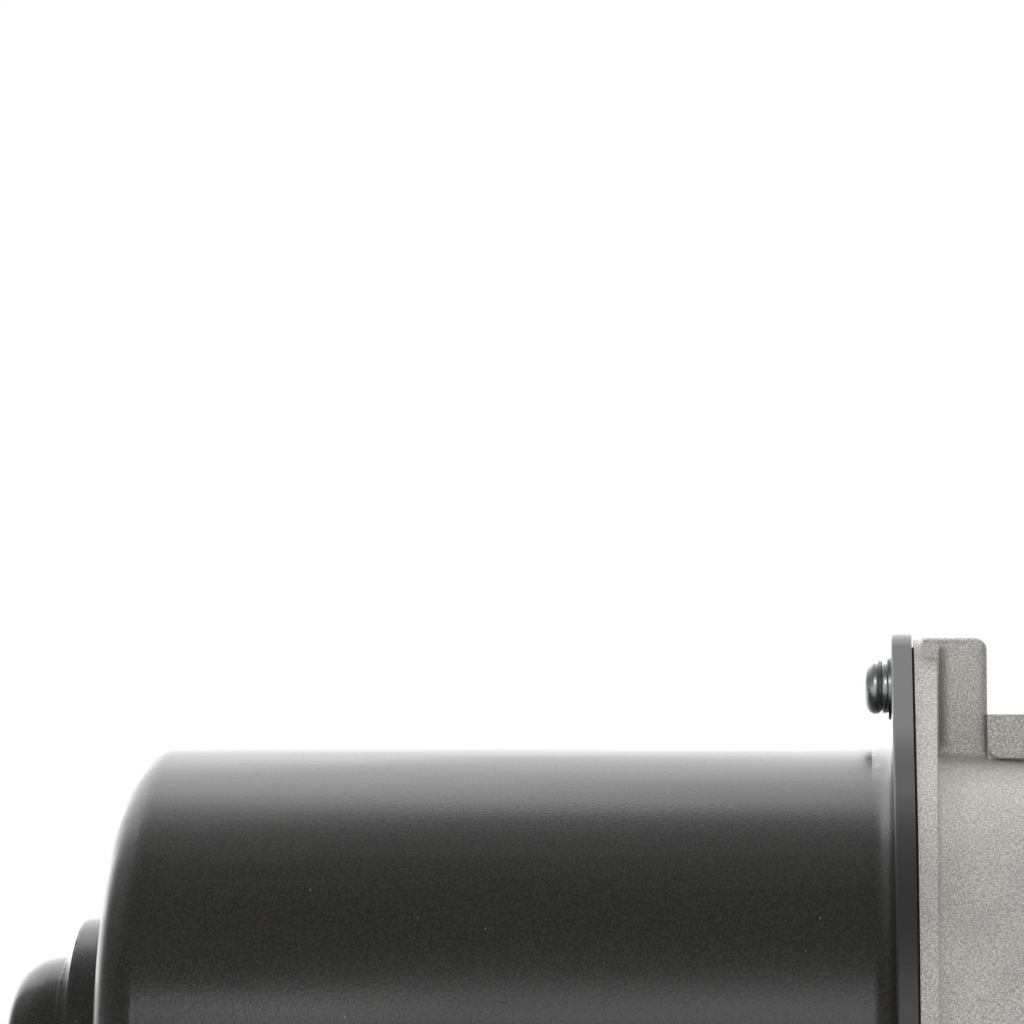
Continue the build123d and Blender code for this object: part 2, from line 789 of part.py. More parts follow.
with BuildPart() as gear_housing:
    with BuildSketch(station(gasket_sheet)):
        eared_outline(casting_inset)
    extrude(amount=housing_flange - gasket_sheet)
    with BuildSketch(Plane.XY.offset(axis_z)):
        with BuildLine():
            Polyline(
                (joint_x, axis_y - ear_tip_r),
                (joint_x + flange_side, axis_y - ear_tip_r),
                (joint_x + housing_flange, axis_y),
                (joint_x + flange_side, axis_y + ear_tip_r),
                (joint_x, axis_y + ear_tip_r),
                close=True,
            )
        make_face()
    extrude(amount=2 * flange_r, both=True, mode=Mode.INTERSECT)
    with BuildSketch(motor_plane):
        rounded_face(
            (gasket_sheet, 0, 0),
            (gasket_sheet, neck_r + neck_root_r, 0),
            (housing_flange - flange_draft, neck_r + neck_root_r, 0),
            (housing_flange - flange_draft, neck_r, neck_root_r),
            (neck_end, neck_end_r, neck_end_edge_r),
            (neck_foot, tunnel_start_r, neck_foot_root_r),
            (tunnel_end, tunnel_end_r, tunnel_edge_r),
            (tunnel_end, 0, 0),
        )
    revolve(axis=motor_axis)
    for ear in range(ear_count):
        add(ear_boss.part.rotate(motor_axis, ear * ear_pitch))
        joins = edges(Select.NEW)
        fillet([join for join in joins if off_motor(join) < screw_circle_r], boss_root_r)
    add(web_pad.part)
    with BuildSketch(motor_plane):
        rounded_face(
            (web_start, web_bottom, 0),
            (web_start, (pad_bottom + web_top) / 2, 0),
            (joint_to_shaft - bowl_bore_r, (pad_bottom + web_top) / 2, 0),
            (joint_to_shaft - bowl_bore_r, web_bottom, 0),
        )
    extrude(amount=web_half_width, both=True)
    with BuildSketch(output_plane):
        rounded_face(
            (0, floor_top, 0),
            (bowl_r, floor_top, bowl_floor_edge_r),
            (bowl_r, rim_level, 0),
            (0, rim_level, 0),
        )
    revolve(axis=Axis.Y)
    add(lugs.part)
    for lug in range(lug_count):
        for side in (-1, 1):
            gusset_plane = upright(lug * 360 / lug_count)
            inward = side * (lug_r - gusset_sheet / 2)
            with BuildSketch(gusset_plane.offset(inward)):
                with BuildLine():
                    Polyline(
                        (bowl_bore_r, lug_bottom),
                        (lug_circle_r, lug_bottom),
                        (bowl_bore_r, lug_bottom - gusset_drop),
                        close=True,
                    )
                make_face()
            extrude(amount=gusset_sheet / 2, both=True)
    with BuildSketch(output_plane):
        rounded_face(
            (0, floor_top, 0),
            (shaft_boss_r, floor_top, 0),
            (shaft_boss_top_r, shaft_boss_top, shaft_boss_edge_r),
            (0, shaft_boss_top, 0),
        )
    revolve(axis=Axis.Y)
    for rib in range(floor_rib_count):
        with BuildSketch(upright((rib + 0.5) * 360 / floor_rib_count)):
            with BuildLine():
                Polyline(
                    (output_bush_r, floor_top),
                    (floor_rib_reach, floor_top),
                    (floor_rib_reach, floor_top + floor_rib_foot),
                    (shaft_boss_top_r, floor_rib_top),
                    (output_bush_r, floor_rib_top),
                    close=True,
                )
            make_face()
        extrude(amount=floor_rib_sheet / 2, both=True)
    with BuildSketch(level(rim_level, turn=cover_screw_turn)):
        with PolarLocations(cover_screw_circle_r, cover_screw_count):
            Circle(cover_boss_r)
        with PolarLocations(bowl_bore_r, cover_screw_count):
            Rectangle(
                cover_screw_circle_r - bowl_bore_r, 2 * cover_boss_r, align=(Align.MIN, Align.CENTER)
            )
    extrude(amount=cover_boss_drop)
    # hollows
    with BuildSketch(motor_plane):
        rounded_face(
            (gasket_sheet, 0, 0),
            (gasket_sheet, chamber_r, 0),
            (brush_seat, chamber_r, 0),
            (brush_seat, chamber_inner_r, 0),
            (chamber_end, chamber_inner_r, chamber_corner_r),
            (chamber_end, mid_bush_r, 0),
            (mid_bush_start + mid_bush_length, mid_bush_r, 0),
            (mid_bush_start + mid_bush_length, mid_shoulder_r, 0),
            (tunnel_bore_start, mid_shoulder_r, 0),
            (tunnel_bore_start, tunnel_bore_r, 0),
            (end_bush_start, tunnel_bore_r, 0),
            (end_bush_start, end_bush_r, 0),
            (end_bush_start + end_bush_length, end_bush_r, 0),
            (end_bush_start + end_bush_length, thrust_screw_r, 0),
            (tunnel_end, thrust_screw_r, 0),
            (tunnel_end, 0, 0),
        )
    revolve(axis=motor_axis, mode=Mode.SUBTRACT)
    with BuildSketch(level(floor_inner)):
        Circle(bowl_bore_r)
    extrude(amount=rim_level - floor_inner, mode=Mode.SUBTRACT)
    with BuildSketch(level(floor_inner)):
        Circle(output_bush_r)
    extrude(amount=shaft_boss_top - floor_inner, mode=Mode.SUBTRACT)
    with BuildSketch(level(lug_top)):
        with PolarLocations(lug_circle_r, lug_count):
            Circle(grommet_neck_r + press_gap)
    extrude(amount=-lug_sheet, mode=Mode.SUBTRACT)
    with BuildSketch(station(gasket_sheet)):
        with PolarLocations(screw_circle_r, ear_count, start_angle=90):
            Circle(screw_r + press_gap)
    extrude(amount=screw_bore_depth - gasket_sheet, mode=Mode.SUBTRACT)
    with BuildSketch(level(rim_level, turn=cover_screw_turn)):
        with PolarLocations(cover_screw_circle_r, cover_screw_count):
            Circle(cover_screw_r + press_gap)
    extrude(amount=cover_screw_reach, mode=Mode.SUBTRACT)
gear_housing.part.label = "gear_housing"


# ================================================================ bearings of the armature
with BuildPart() as mid_bush:
    with BuildSketch(station(mid_bush_start)):
        ring(mid_bush_r - press_gap, mid_journal_r + running_gap)
    extrude(amount=mid_bush_length)
mid_bush.part.label = "mid_bush"

with BuildPart() as end_bush:
    with BuildSketch(station(end_bush_start)):
        ring(end_bush_r - press_gap, end_journal_r + running_gap)
    extrude(amount=end_bush_length)
end_bush.part.label = "end_bush"

pad_start = shaft_tip + press_gap
pad_end = pad_start + thrust_pad_sheet

with BuildPart() as thrust_pad:
    with BuildSketch(station(pad_start)):
        Circle(thrust_screw_r - slip_gap)
    extrude(amount=thrust_pad_sheet)
thrust_pad.part.label = "thrust_pad"

with BuildPart() as thrust_screw:
    with BuildSketch(station(pad_end)):
        Circle(thrust_screw_r - thrust_screw_gap)
    extrude(amount=thrust_screw_reach)
    chamfer(faces().sort_by(Axis.X)[-1].edges(), hex_edge)
    with BuildSketch(station(pad_end + thrust_screw_reach)):
        Rectangle(2 * thrust_screw_r, thrust_slot)
    extrude(amount=-thrust_slot_depth, mode=Mode.SUBTRACT)
thrust_screw.part.label = "thrust_screw"

with BuildPart() as thrust_locknut:
    with BuildSketch(station(tunnel_end)):
        RegularPolygon(locknut_r, 6)
        Circle(thrust_screw_r, mode=Mode.SUBTRACT)
    extrude(amount=locknut_height)
    chamfer(faces().sort_by(Axis.X)[-1].outer_wire().edges(), hex_edge)
thrust_locknut.part.label = "thrust_locknut"


# ================================================================ flange screws
def at_screws():
    """Places of the three flange screws, in the sketch that is open."""
    return PolarLocations(screw_circle_r, ear_count, start_angle=90)


spring_washer_face = -yoke_flange - plain_washer
screw_head_face = spring_washer_face - spring_washer

with BuildPart() as yoke_plain_washers:
    with BuildSketch(station(-yoke_flange)):
        with at_screws():
            Circle(plain_washer_r)
            Circle(washer_bore_r, mode=Mode.SUBTRACT)
    extrude(amount=-plain_washer)
yoke_plain_washers.part.label = "yoke_plain_washers"

with BuildPart() as yoke_spring_washers:
    with BuildSketch(station(spring_washer_face)):
        with at_screws():
            Circle(spring_washer_r)
            Circle(washer_bore_r, mode=Mode.SUBTRACT)
            Rectangle(
                spring_washer_r + near,
                spring_washer_cut,
                align=(Align.MIN, Align.CENTER),
                rotation=-ear_pitch / 2,
                mode=Mode.SUBTRACT,
            )
    extrude(amount=-spring_washer)
    fillet(
        [rim for rim in edges().filter_by(GeomType.CIRCLE) if abs(rim.radius - spring_washer_r) < near],
        spring_washer_edge_r,
    )
yoke_spring_washers.part.label = "yoke_spring_washers"

dome_start = screw_head_face - screw_head
head_dome_r = (screw_head_r**2 + screw_head_dome**2) / (2 * screw_head_dome)
dome_angle = degrees(asin(screw_head_r / head_dome_r))
screw_tip = screw_head_face + screw_reach
screw_plane = Plane(
    origin=motor_plane.from_local_coords((0, screw_circle_r, 0)),
    x_dir=motor_plane.x_dir,
    z_dir=motor_plane.z_dir,
)

with BuildPart() as flange_screw:
    with BuildSketch(screw_plane):
        with BuildLine() as outline:
            dome = CenterArc(
                (dome_start + head_dome_r, 0), head_dome_r, 180 - dome_angle, dome_angle
            )
            Polyline(
                dome @ 1,
                (screw_tip, 0),
                (screw_tip, screw_r),
                (screw_head_face, screw_r),
                (screw_head_face, screw_head_r),
                dome @ 0,
            )
        make_face(outline.edges())
    revolve(axis=Axis(screw_plane.origin, screw_plane.x_dir))
    fillet(
        [rim for rim in edges().filter_by(GeomType.CIRCLE) if abs(rim.radius - screw_head_r) < near],
        screw_head_edge_r,
    )
    with BuildSketch(station(dome_start + recess_depth)):
        with Locations((0, screw_circle_r)):
            Rectangle(recess_span, recess_width)
            Rectangle(recess_width, recess_span)
    extrude(amount=-recess_depth - near, mode=Mode.SUBTRACT)

with BuildPart() as yoke_screws:
    for ear in range(ear_count):
        add(flange_screw.part.rotate(motor_axis, ear * ear_pitch))
yoke_screws.part.label = "yoke_screws"


# ================================================================ brush gear
with BuildPart() as brush_plate:
    with BuildSketch(station(brush_seat)):
        ring(chamber_r - slip_gap, brush_plate_bore_r)
    extrude(amount=-brush_plate_sheet)
brush_plate.part.label = "brush_plate"


def brush_level(turn, radius):
    """Plane across a brush at a radius from the motor axis, facing outward."""
    side = motor_side(turn)
    middle = side.from_local_coords((brush_mid, radius, 0))
    return Plane(origin=middle, x_dir=side.x_dir, z_dir=side.y_dir)


brush_names = ("common", "low", "high")
box_bore_height = brush_height + 2 * box_gap
box_bore_width = brush_width + 2 * box_gap
spring_start_r = brush_start_r + brush_length
spring_length = box_end_r - box_sheet - spring_start_r
brush_holders = []
brushes = []
brush_springs = []
for turn, name in zip(brush_turns, brush_names):
    with BuildPart() as holder:
        with BuildSketch(brush_level(turn, box_start_r)):
            Rectangle(box_depth, box_width)
        extrude(amount=box_end_r - box_start_r)
        with BuildSketch(brush_level(turn, box_start_r)):
            Rectangle(box_bore_height, box_bore_width)
        extrude(amount=box_end_r - box_sheet - box_start_r, mode=Mode.SUBTRACT)
    holder.part.label = "brush_box_" + name
    brush_holders.append(holder.part)

    with BuildPart() as brush:
        with BuildSketch(brush_level(turn, brush_start_r)):
            Rectangle(brush_height, brush_width)
        extrude(amount=brush_length)
    brush.part.label = "brush_" + name
    brushes.append(brush.part)

    with BuildPart() as spring:
        coil_start = brush_level(turn, spring_start_r + spring_wire_r)
        rise = spring_length - 2 * spring_wire_r
        with BuildLine() as coil:
            Helix(
                pitch=rise / spring_turns,
                height=rise,
                radius=spring_r,
                center=coil_start.origin,
                direction=coil_start.z_dir,
            )
        with BuildSketch(Plane(origin=coil.line @ 0, z_dir=coil.line % 0)):
            Circle(spring_wire_r)
        sweep(path=coil.line)
    spring.part.label = "brush_spring_" + name
    brush_springs.append(spring.part)

with BuildPart() as choke_coils:
    for turn in choke_turns:
        side = motor_side(turn)
        middle = side.from_local_coords((brush_seat + choke_r, choke_seat_r, 0))
        with BuildSketch(Plane(origin=middle, x_dir=side.x_dir, z_dir=side.z_dir)):
            ring(choke_r, choke_core_r)
        extrude(amount=choke_length / 2, both=True)
choke_coils.part.label = "choke_coils"

with BuildPart() as choke_cores:
    for turn in choke_turns:
        side = motor_side(turn)
        middle = side.from_local_coords((brush_seat + choke_r, choke_seat_r, 0))
        with BuildSketch(Plane(origin=middle, x_dir=side.x_dir, z_dir=side.z_dir)):
            Circle(choke_core_r - press_gap)
        extrude(amount=choke_core_length / 2, both=True)
choke_cores.part.label = "choke_cores"

with BuildPart() as thermal_breaker:
    breaker_side = motor_side(breaker_turn)
    with BuildSketch(breaker_side):
        with Locations((brush_seat + breaker_height / 2, breaker_seat_r)):
            RectangleRounded(breaker_height, breaker_depth, sheet_edge_r)
    extrude(amount=breaker_width / 2, both=True)
thermal_breaker.part.label = "thermal_breaker"


# ================================================================ output shaft and wheel
def involute_angle(radius):
    """Angle that the flank has turned at a radius, measured from the base circle."""
    slope = acos(wheel_pitch_r * cos(radians(pressure_angle)) / radius)
    return tan(slope) - slope


def wheel_outline():
    """Outline of the toothed wheel, a tooth on +y, in the sketch that is open."""
    tooth_angle = 2 * pi / wheel_teeth
    play_angle = tooth_play / wheel_pitch_r
    radii = (wheel_root_r, wheel_pitch_r, wheel_tip_r)
    half_angles = [
        tooth_angle / 4 - play_angle + involute_angle(wheel_pitch_r) - involute_angle(r)
        for r in radii
    ]

    def point(radius, angle):
        return (radius * sin(angle), radius * cos(angle))

    with BuildLine() as outline:
        for tooth in range(wheel_teeth):
            centre = tooth * tooth_angle
            rising = [point(r, centre - a) for r, a in zip(radii, half_angles)]
            falling = [point(r, centre + a) for r, a in zip(radii, half_angles)]
            following = point(wheel_root_r, centre + tooth_angle - half_angles[0])
            ThreePointArc(*rising)
            Line(rising[-1], falling[-1])
            ThreePointArc(*reversed(falling))
            Line(falling[0], following)
    make_face(outline.edges())


wheel_twist = degrees(wheel_face * lead_slope / wheel_pitch_r)

with BuildSketch(level(wheel_bottom, turn=-wheel_twist / 2)) as wheel_section:
    wheel_outline()

wheel_rim = Solid.extrude_linear_with_rotation(
    wheel_section.sketch.faces()[0],
    center=Vector(0, wheel_bottom, 0),
    normal=Vector(0, wheel_face, 0),
    angle=wheel_twist,
)

with BuildPart() as worm_wheel:
    add(wheel_rim)
    with BuildSketch(level(wheel_top)):
        ring(wheel_root_r - rim_sheet, hub_r)
    extrude(amount=web_sheet - wheel_face, mode=Mode.SUBTRACT)
    with BuildSketch(level(hub_bottom)):
        Circle(hub_r)
    extrude(amount=hub_top - hub_bottom)
    with BuildSketch(level(wheel_bottom)):
        with PolarLocations((hub_r + wheel_root_r - rim_sheet) / 2, wheel_rib_count):
            Rectangle(wheel_root_r - rim_sheet - hub_r + web_sheet, web_sheet)
    extrude(amount=wheel_face - web_sheet)
    with BuildSketch(level(hub_bottom)):
        Circle(output_r + press_gap)
    extrude(amount=hub_top - hub_bottom, mode=Mode.SUBTRACT)
worm_wheel.part.label = "worm_wheel"

with BuildPart() as park_disc:
    with BuildSketch(level(wheel_bottom)):
        Circle(park_disc_r)
        notch_y = park_disc_r * tan(radians(park_notch))
        Polygon((0, 0), (park_disc_r, 0), (park_disc_r, notch_y), align=None, mode=Mode.SUBTRACT)
        Circle(park_track_r)
        Circle(park_disc_bore_r, mode=Mode.SUBTRACT)
    extrude(amount=-park_disc_sheet)
park_disc.part.label = "park_disc"

groove_start = shaft_boss_top + slip_gap + seal_washer
groove_end = groove_start + circlip_sheet + groove_slack

with BuildPart() as output_shaft:
    with BuildSketch(output_plane):
        rounded_face(
            (0, output_bottom, 0),
            (output_r, output_bottom, shaft_chamfer),
            (output_r, groove_start, 0),
            (circlip_groove_r, groove_start, 0),
            (circlip_groove_r, groove_end, 0),
            (output_r, groove_end, 0),
            (output_r, taper_start, 0),
            (taper_end_r, taper_end, 0),
            (thread_r, taper_end, 0),
            (thread_r, thread_top, shaft_chamfer),
            (0, thread_top, 0),
        )
    revolve(axis=Axis.Y)
output_shaft.part.label = "output_shaft"

with BuildPart() as output_bushes:
    with BuildSketch(level(floor_inner), level(shaft_boss_top - output_bush_length)):
        ring(output_bush_r - press_gap, output_r + running_gap)
    extrude(amount=output_bush_length)
output_bushes.part.label = "output_bushes"

with BuildPart() as thrust_ring:
    with BuildSketch(level(hub_top + touch_gap / 2)):
        ring(thrust_washer_r, output_r + slip_gap)
    extrude(amount=thrust_washer)
thrust_ring.part.label = "thrust_ring"

with BuildPart() as seal_ring:
    with BuildSketch(level(shaft_boss_top + slip_gap)):
        ring(seal_washer_r, output_r + slip_gap)
    extrude(amount=seal_washer)
seal_ring.part.label = "seal_ring"

with BuildPart() as circlip:
    with BuildSketch(level(groove_start + groove_slack / 2)):
        ring(circlip_r, circlip_groove_r + press_gap)
        Rectangle(
            circlip_r + near, circlip_gap_width, align=(Align.MIN, Align.CENTER), mode=Mode.SUBTRACT
        )
    extrude(amount=circlip_sheet)
circlip.part.label = "circlip"


# ================================================================ crank
with BuildPart() as crank_arm:
    with BuildSketch(level(crank_plate_base)):
        Circle(crank_hub_r)
        with Locations((crank_length, 0)):
            Circle(crank_tip_r)
        make_hull()
    extrude(amount=crank_sheet)
    with BuildSketch(level(crank_base)):
        Circle(crank_hub_r)
    extrude(amount=crank_hub_height)
    fillet(faces().sort_by(Axis.Y)[-1].outer_wire().edges(), crank_edge_r)
    with BuildSketch(output_plane):
        with BuildLine():
            Polyline(
                (0, crank_base),
                (output_r + press_gap, crank_base),
                (taper_end_r + press_gap, taper_end),
                (taper_end_r + press_gap, crank_top),
                (0, crank_top),
                close=True,
            )
        make_face()
    revolve(axis=Axis.Y, mode=Mode.SUBTRACT)
    with BuildSketch(level(crank_plate_base)):
        with Locations((crank_length, 0)):
            Circle(stud_shank_r)
    extrude(amount=crank_sheet, mode=Mode.SUBTRACT)
crank_arm.part.label = "crank_arm"

with BuildPart() as crank_washer_part:
    with BuildSketch(level(crank_top)):
        ring(crank_washer_r, thread_r + slip_gap)
    extrude(amount=crank_washer)
crank_washer_part.part.label = "crank_washer"

with BuildPart() as crank_nut:
    with BuildSketch(level(crank_top + crank_washer)):
        RegularPolygon(crank_nut_r, 6)
        Circle(thread_r + press_gap, mode=Mode.SUBTRACT)
    extrude(amount=crank_nut_height)
    chamfer(faces().sort_by(Axis.Y)[-1].outer_wire().edges(), hex_edge)
crank_nut.part.label = "crank_nut"

ball_centre = crank_plate_top + stud_collar + stud_neck + ball_r

with BuildPart() as ball_stud:
    with BuildSketch(output_plane):
        with BuildLine():
            FilletPolyline(
                (0, crank_plate_base - rivet_height),
                (rivet_r, crank_plate_base - rivet_height),
                (rivet_r, crank_plate_base),
                (stud_shank_r - press_gap, crank_plate_base),
                (stud_shank_r - press_gap, crank_plate_top),
                (stud_collar_r, crank_plate_top),
                (stud_collar_r, crank_plate_top + stud_collar),
                (stud_neck_r, crank_plate_top + stud_collar),
                (stud_neck_r, ball_centre),
                (0, ball_centre),
                radius=[0, rivet_height / 2, 0, 0, 0, sheet_edge_r, sheet_edge_r, 0, 0, 0],
                close=True,
            )
        make_face()
    revolve(axis=Axis.Y)
    with Locations((0, ball_centre, 0)):
        Sphere(ball_r)
ball_stud.part.locate(Location((crank_length, 0, 0)))
ball_stud.part.label = "ball_stud"


# ================================================================ mounting rubbers and sleeves
with BuildPart() as grommets:
    with BuildSketch(level(lug_top)):
        with PolarLocations(lug_circle_r, lug_count):
            Circle(grommet_flange_r)
    extrude(amount=grommet_flange)
    with BuildSketch(level(lug_bottom)):
        with PolarLocations(lug_circle_r, lug_count):
            Circle(grommet_flange_r)
    extrude(amount=-grommet_flange)
    with BuildSketch(level(lug_bottom)):
        with PolarLocations(lug_circle_r, lug_count):
            Circle(grommet_neck_r)
    extrude(amount=lug_sheet)
    with BuildSketch(level(0)):
        with PolarLocations(lug_circle_r, lug_count):
            Circle(sleeve_r + press_gap)
    extrude(amount=2 * lug_bottom, mode=Mode.SUBTRACT)
    ends = [*faces().group_by(Axis.Y)[0], *faces().group_by(Axis.Y)[-1]]
    fillet([end.outer_wire().edge() for end in ends], grommet_edge_r)
grommets.part.label = "grommets"

with BuildPart() as grommet_sleeves:
    with BuildSketch(level(0)):
        with PolarLocations(lug_circle_r, lug_count):
            Circle(sleeve_r)
            Circle(sleeve_bore_r, mode=Mode.SUBTRACT)
    extrude(amount=lug_bottom - grommet_flange - sleeve_stand)
grommet_sleeves.part.label = "grommet_sleeves"


# ================================================================ gear cover
def cover_places():
    """Places of the cover screws, on a level turned by cover_screw_turn."""
    return PolarLocations(cover_screw_circle_r, cover_screw_count)


with BuildPart() as cover_seal:
    with BuildSketch(level(rim_level)):
        ring(bowl_r, bowl_bore_r + slip_gap)
    extrude(amount=-cover_seal_sheet)
cover_seal.part.label = "cover_seal"

with BuildPart() as gear_cover:
    with BuildSketch(level(cover_level, turn=cover_screw_turn)):
        Circle(cover_r)
        with cover_places():
            Circle(cover_ear_r)
    extrude(amount=-cover_sheet)
    fillet(faces().sort_by(Axis.Y)[0].outer_wire().edges(), cover_edge_r)
    with BuildSketch(output_plane):
        rounded_face(
            (0, cover_outer, 0),
            (dome_r, cover_outer, 0),
            (dome_top_r, dome_outer, dome_edge_r),
            (0, dome_outer, 0),
        )
    revolve(axis=Axis.Y)
    shroud_mouth = (shroud_end, shroud_mid, shroud_centre)
    shroud_plane = Plane(origin=shroud_mouth, x_dir=(0, 0, 1), z_dir=(-1, 0, 0))
    with BuildSketch(shroud_plane):
        RectangleRounded(shroud_width, shroud_height, shroud_edge_r)
    extrude(amount=shroud_end - shroud_start)
    with BuildSketch(shroud_plane):
        Rectangle(shroud_inner_width, shroud_inner_height)
    extrude(amount=shroud_depth, mode=Mode.SUBTRACT)
    latch_base = shroud_mid - shroud_height / 2
    with BuildSketch(Plane.XY.offset(shroud_centre)):
        with BuildLine():
            Polyline(
                (shroud_end - latch_length / 2, latch_base),
                (shroud_end - 2 * latch_length, latch_base - latch_height),
                (shroud_end - 2 * latch_length - latch_height, latch_base - latch_height),
                (shroud_end - 2 * latch_length - latch_height, latch_base),
                close=True,
            )
        make_face()
    extrude(amount=latch_width / 2, both=True)
    # the hollow over the park contacts
    with BuildSketch(output_plane):
        rounded_face(
            (0, cover_level, 0),
            (dome_r - cover_sheet, cover_level, 0),
            (dome_top_r - cover_sheet, dome_outer + cover_sheet, 0),
            (0, dome_outer + cover_sheet, 0),
        )
    revolve(axis=Axis.Y, mode=Mode.SUBTRACT)
    with BuildSketch(level(cover_level, turn=cover_screw_turn)):
        with cover_places():
            Circle(cover_hole_r)
    extrude(amount=-cover_sheet, mode=Mode.SUBTRACT)
    pin_root = (shroud_end - shroud_depth - pin_tail, shroud_mid, shroud_centre)
    pin_plane = Plane(origin=pin_root, x_dir=(0, 0, -1), z_dir=(1, 0, 0))
    with BuildSketch(pin_plane):
        with GridLocations(pin_pitch, 0, pin_count, 1):
            Rectangle(pin_width + 2 * press_gap, pin_sheet + 2 * press_gap)
    extrude(amount=pin_tail, mode=Mode.SUBTRACT)
gear_cover.part.label = "gear_cover"

with BuildPart() as connector_pins:
    with BuildSketch(pin_plane):
        with GridLocations(pin_pitch, 0, pin_count, 1):
            Rectangle(pin_width, pin_sheet)
    extrude(amount=pin_tail + pin_reach)
    chamfer(faces().group_by(Axis.X)[-1].edges(), pin_sheet / 4)
connector_pins.part.label = "connector_pins"

with BuildPart() as cover_screws:
    with BuildSketch(level(cover_outer, turn=cover_screw_turn)):
        with cover_places():
            Circle(cover_screw_washer_r)
    extrude(amount=-cover_screw_washer)
    with BuildSketch(level(cover_outer - cover_screw_washer, turn=cover_screw_turn)):
        with cover_places():
            RegularPolygon(cover_screw_head_r, 6)
    extrude(amount=-cover_screw_head)
    chamfer(faces().group_by(Axis.Y)[0].edges(), hex_edge)
    with BuildSketch(level(cover_outer, turn=cover_screw_turn)):
        with cover_places():
            Circle(cover_screw_r)
    extrude(amount=cover_screw_reach)
cover_screws.part.label = "cover_screws"

leaf_touch = wheel_bottom - park_disc_sheet - touch_gap
leaf_mid = leaf_start + leaf_foot + leaf_reach

with BuildPart() as park_contacts:
    for leaf in range(leaf_count):
        leaf_z = (leaf - (leaf_count - 1) / 2) * leaf_pitch
        with BuildSketch(Plane.XY.offset(leaf_z)):
            with BuildLine():
                FilletPolyline(
                    (leaf_start, dome_outer + cover_sheet + leaf_sheet / 2),
                    (leaf_start + leaf_foot, dome_outer + cover_sheet + leaf_sheet / 2),
                    (leaf_mid, leaf_touch - leaf_sheet / 2),
                    (leaf_mid + leaf_tip, leaf_touch - leaf_tip / 2),
                    radius=leaf_bend_r,
                )
            trace(line_width=leaf_sheet)
        extrude(amount=leaf_width / 2, both=True)
park_contacts.part.label = "park_contacts"


# ================================================================ files
pieces = [
    motor_can.part,
    joint_gasket.part,
    magnets.part,
    magnet_clips.part,
    rear_bush.part,
    felt_ring.part,
    bush_retainer.part,
    armature_shaft.part,
    armature_core.part,
    end_insulators.part,
    windings.part,
    commutator_bars.part,
    commutator_moulding.part,
    slinger.part,
    gear_housing.part,
    mid_bush.part,
    end_bush.part,
    thrust_pad.part,
    thrust_screw.part,
    thrust_locknut.part,
    yoke_plain_washers.part,
    yoke_spring_washers.part,
    yoke_screws.part,
    brush_plate.part,
    *brush_holders,
    *brushes,
    *brush_springs,
    choke_coils.part,
    choke_cores.part,
    thermal_breaker.part,
    worm_wheel.part,
    park_disc.part,
    output_shaft.part,
    output_bushes.part,
    thrust_ring.part,
    seal_ring.part,
    circlip.part,
    crank_arm.part,
    crank_washer_part.part,
    crank_nut.part,
    ball_stud.part,
    grommets.part,
    grommet_sleeves.part,
    cover_seal.part,
    gear_cover.part,
    connector_pins.part,
    cover_screws.part,
    park_contacts.part,
]
for piece in pieces:
    export_step(piece, "parts/" + piece.label + ".step")
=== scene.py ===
import json
import math

import bmesh
import bpy
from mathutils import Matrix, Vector


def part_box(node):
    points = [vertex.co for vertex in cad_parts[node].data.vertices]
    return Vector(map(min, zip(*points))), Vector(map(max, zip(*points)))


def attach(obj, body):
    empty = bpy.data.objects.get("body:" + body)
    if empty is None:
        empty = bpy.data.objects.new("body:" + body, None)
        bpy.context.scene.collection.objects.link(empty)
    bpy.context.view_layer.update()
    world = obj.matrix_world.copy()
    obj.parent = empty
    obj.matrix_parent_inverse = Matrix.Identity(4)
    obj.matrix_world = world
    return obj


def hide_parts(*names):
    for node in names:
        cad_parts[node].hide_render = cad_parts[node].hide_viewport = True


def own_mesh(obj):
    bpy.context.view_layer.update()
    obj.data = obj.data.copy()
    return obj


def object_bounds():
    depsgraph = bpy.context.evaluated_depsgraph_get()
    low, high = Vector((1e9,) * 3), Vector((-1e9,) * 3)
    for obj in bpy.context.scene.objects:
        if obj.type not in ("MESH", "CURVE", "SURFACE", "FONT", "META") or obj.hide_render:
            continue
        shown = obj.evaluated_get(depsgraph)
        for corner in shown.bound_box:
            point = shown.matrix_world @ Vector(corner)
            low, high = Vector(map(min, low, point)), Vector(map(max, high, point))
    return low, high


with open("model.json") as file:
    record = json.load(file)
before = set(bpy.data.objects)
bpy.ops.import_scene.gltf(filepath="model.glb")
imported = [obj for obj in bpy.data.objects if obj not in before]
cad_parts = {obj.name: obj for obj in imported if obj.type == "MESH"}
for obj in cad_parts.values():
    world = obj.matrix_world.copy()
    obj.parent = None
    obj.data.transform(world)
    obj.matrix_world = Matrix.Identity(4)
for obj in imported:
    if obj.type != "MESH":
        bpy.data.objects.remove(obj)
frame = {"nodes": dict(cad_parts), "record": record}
cad_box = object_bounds()
nodes = frame["nodes"]

# ---------------------------------------------------------------- sizes, in metres
QUARTER_TURN = math.pi / 2

CAMERA_PLACE = Vector((-0.0643, -0.5549, -0.01325))
CAMERA_AIM = Vector((-0.10768, -0.024, 0.0326))
CAMERA_LENS = 149.95            # millimetres, as the next
SENSOR_WIDTH = 36.0
NEAREST_SEEN = 0.01
FARTHEST_SEEN = 50.0

FLANGE_SHEET = 0.0025
FLANGE_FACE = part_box("joint_gasket")[0][0] - FLANGE_SHEET
SHEET_EDGE = 0.0004             # over this, the flange's face passes into its cut edge
DRAWN_STRETCH = (0.12, 1.0, 1.0)    # the paint's unevenness is long along the can
MOTOR_AXIS = (0.0, -0.024, -0.03475)
# Distances from the motor's axis over which one region passes into the next.
EAR_FADE = (0.0412, 0.0432)     # from the flange's disc to its ears
BOSS_FADE = (0.0372, 0.0388)    # from the neck to the screw bosses on it
BOSS_CROWN = (0.0497, 0.0507)   # from a boss's side to its top
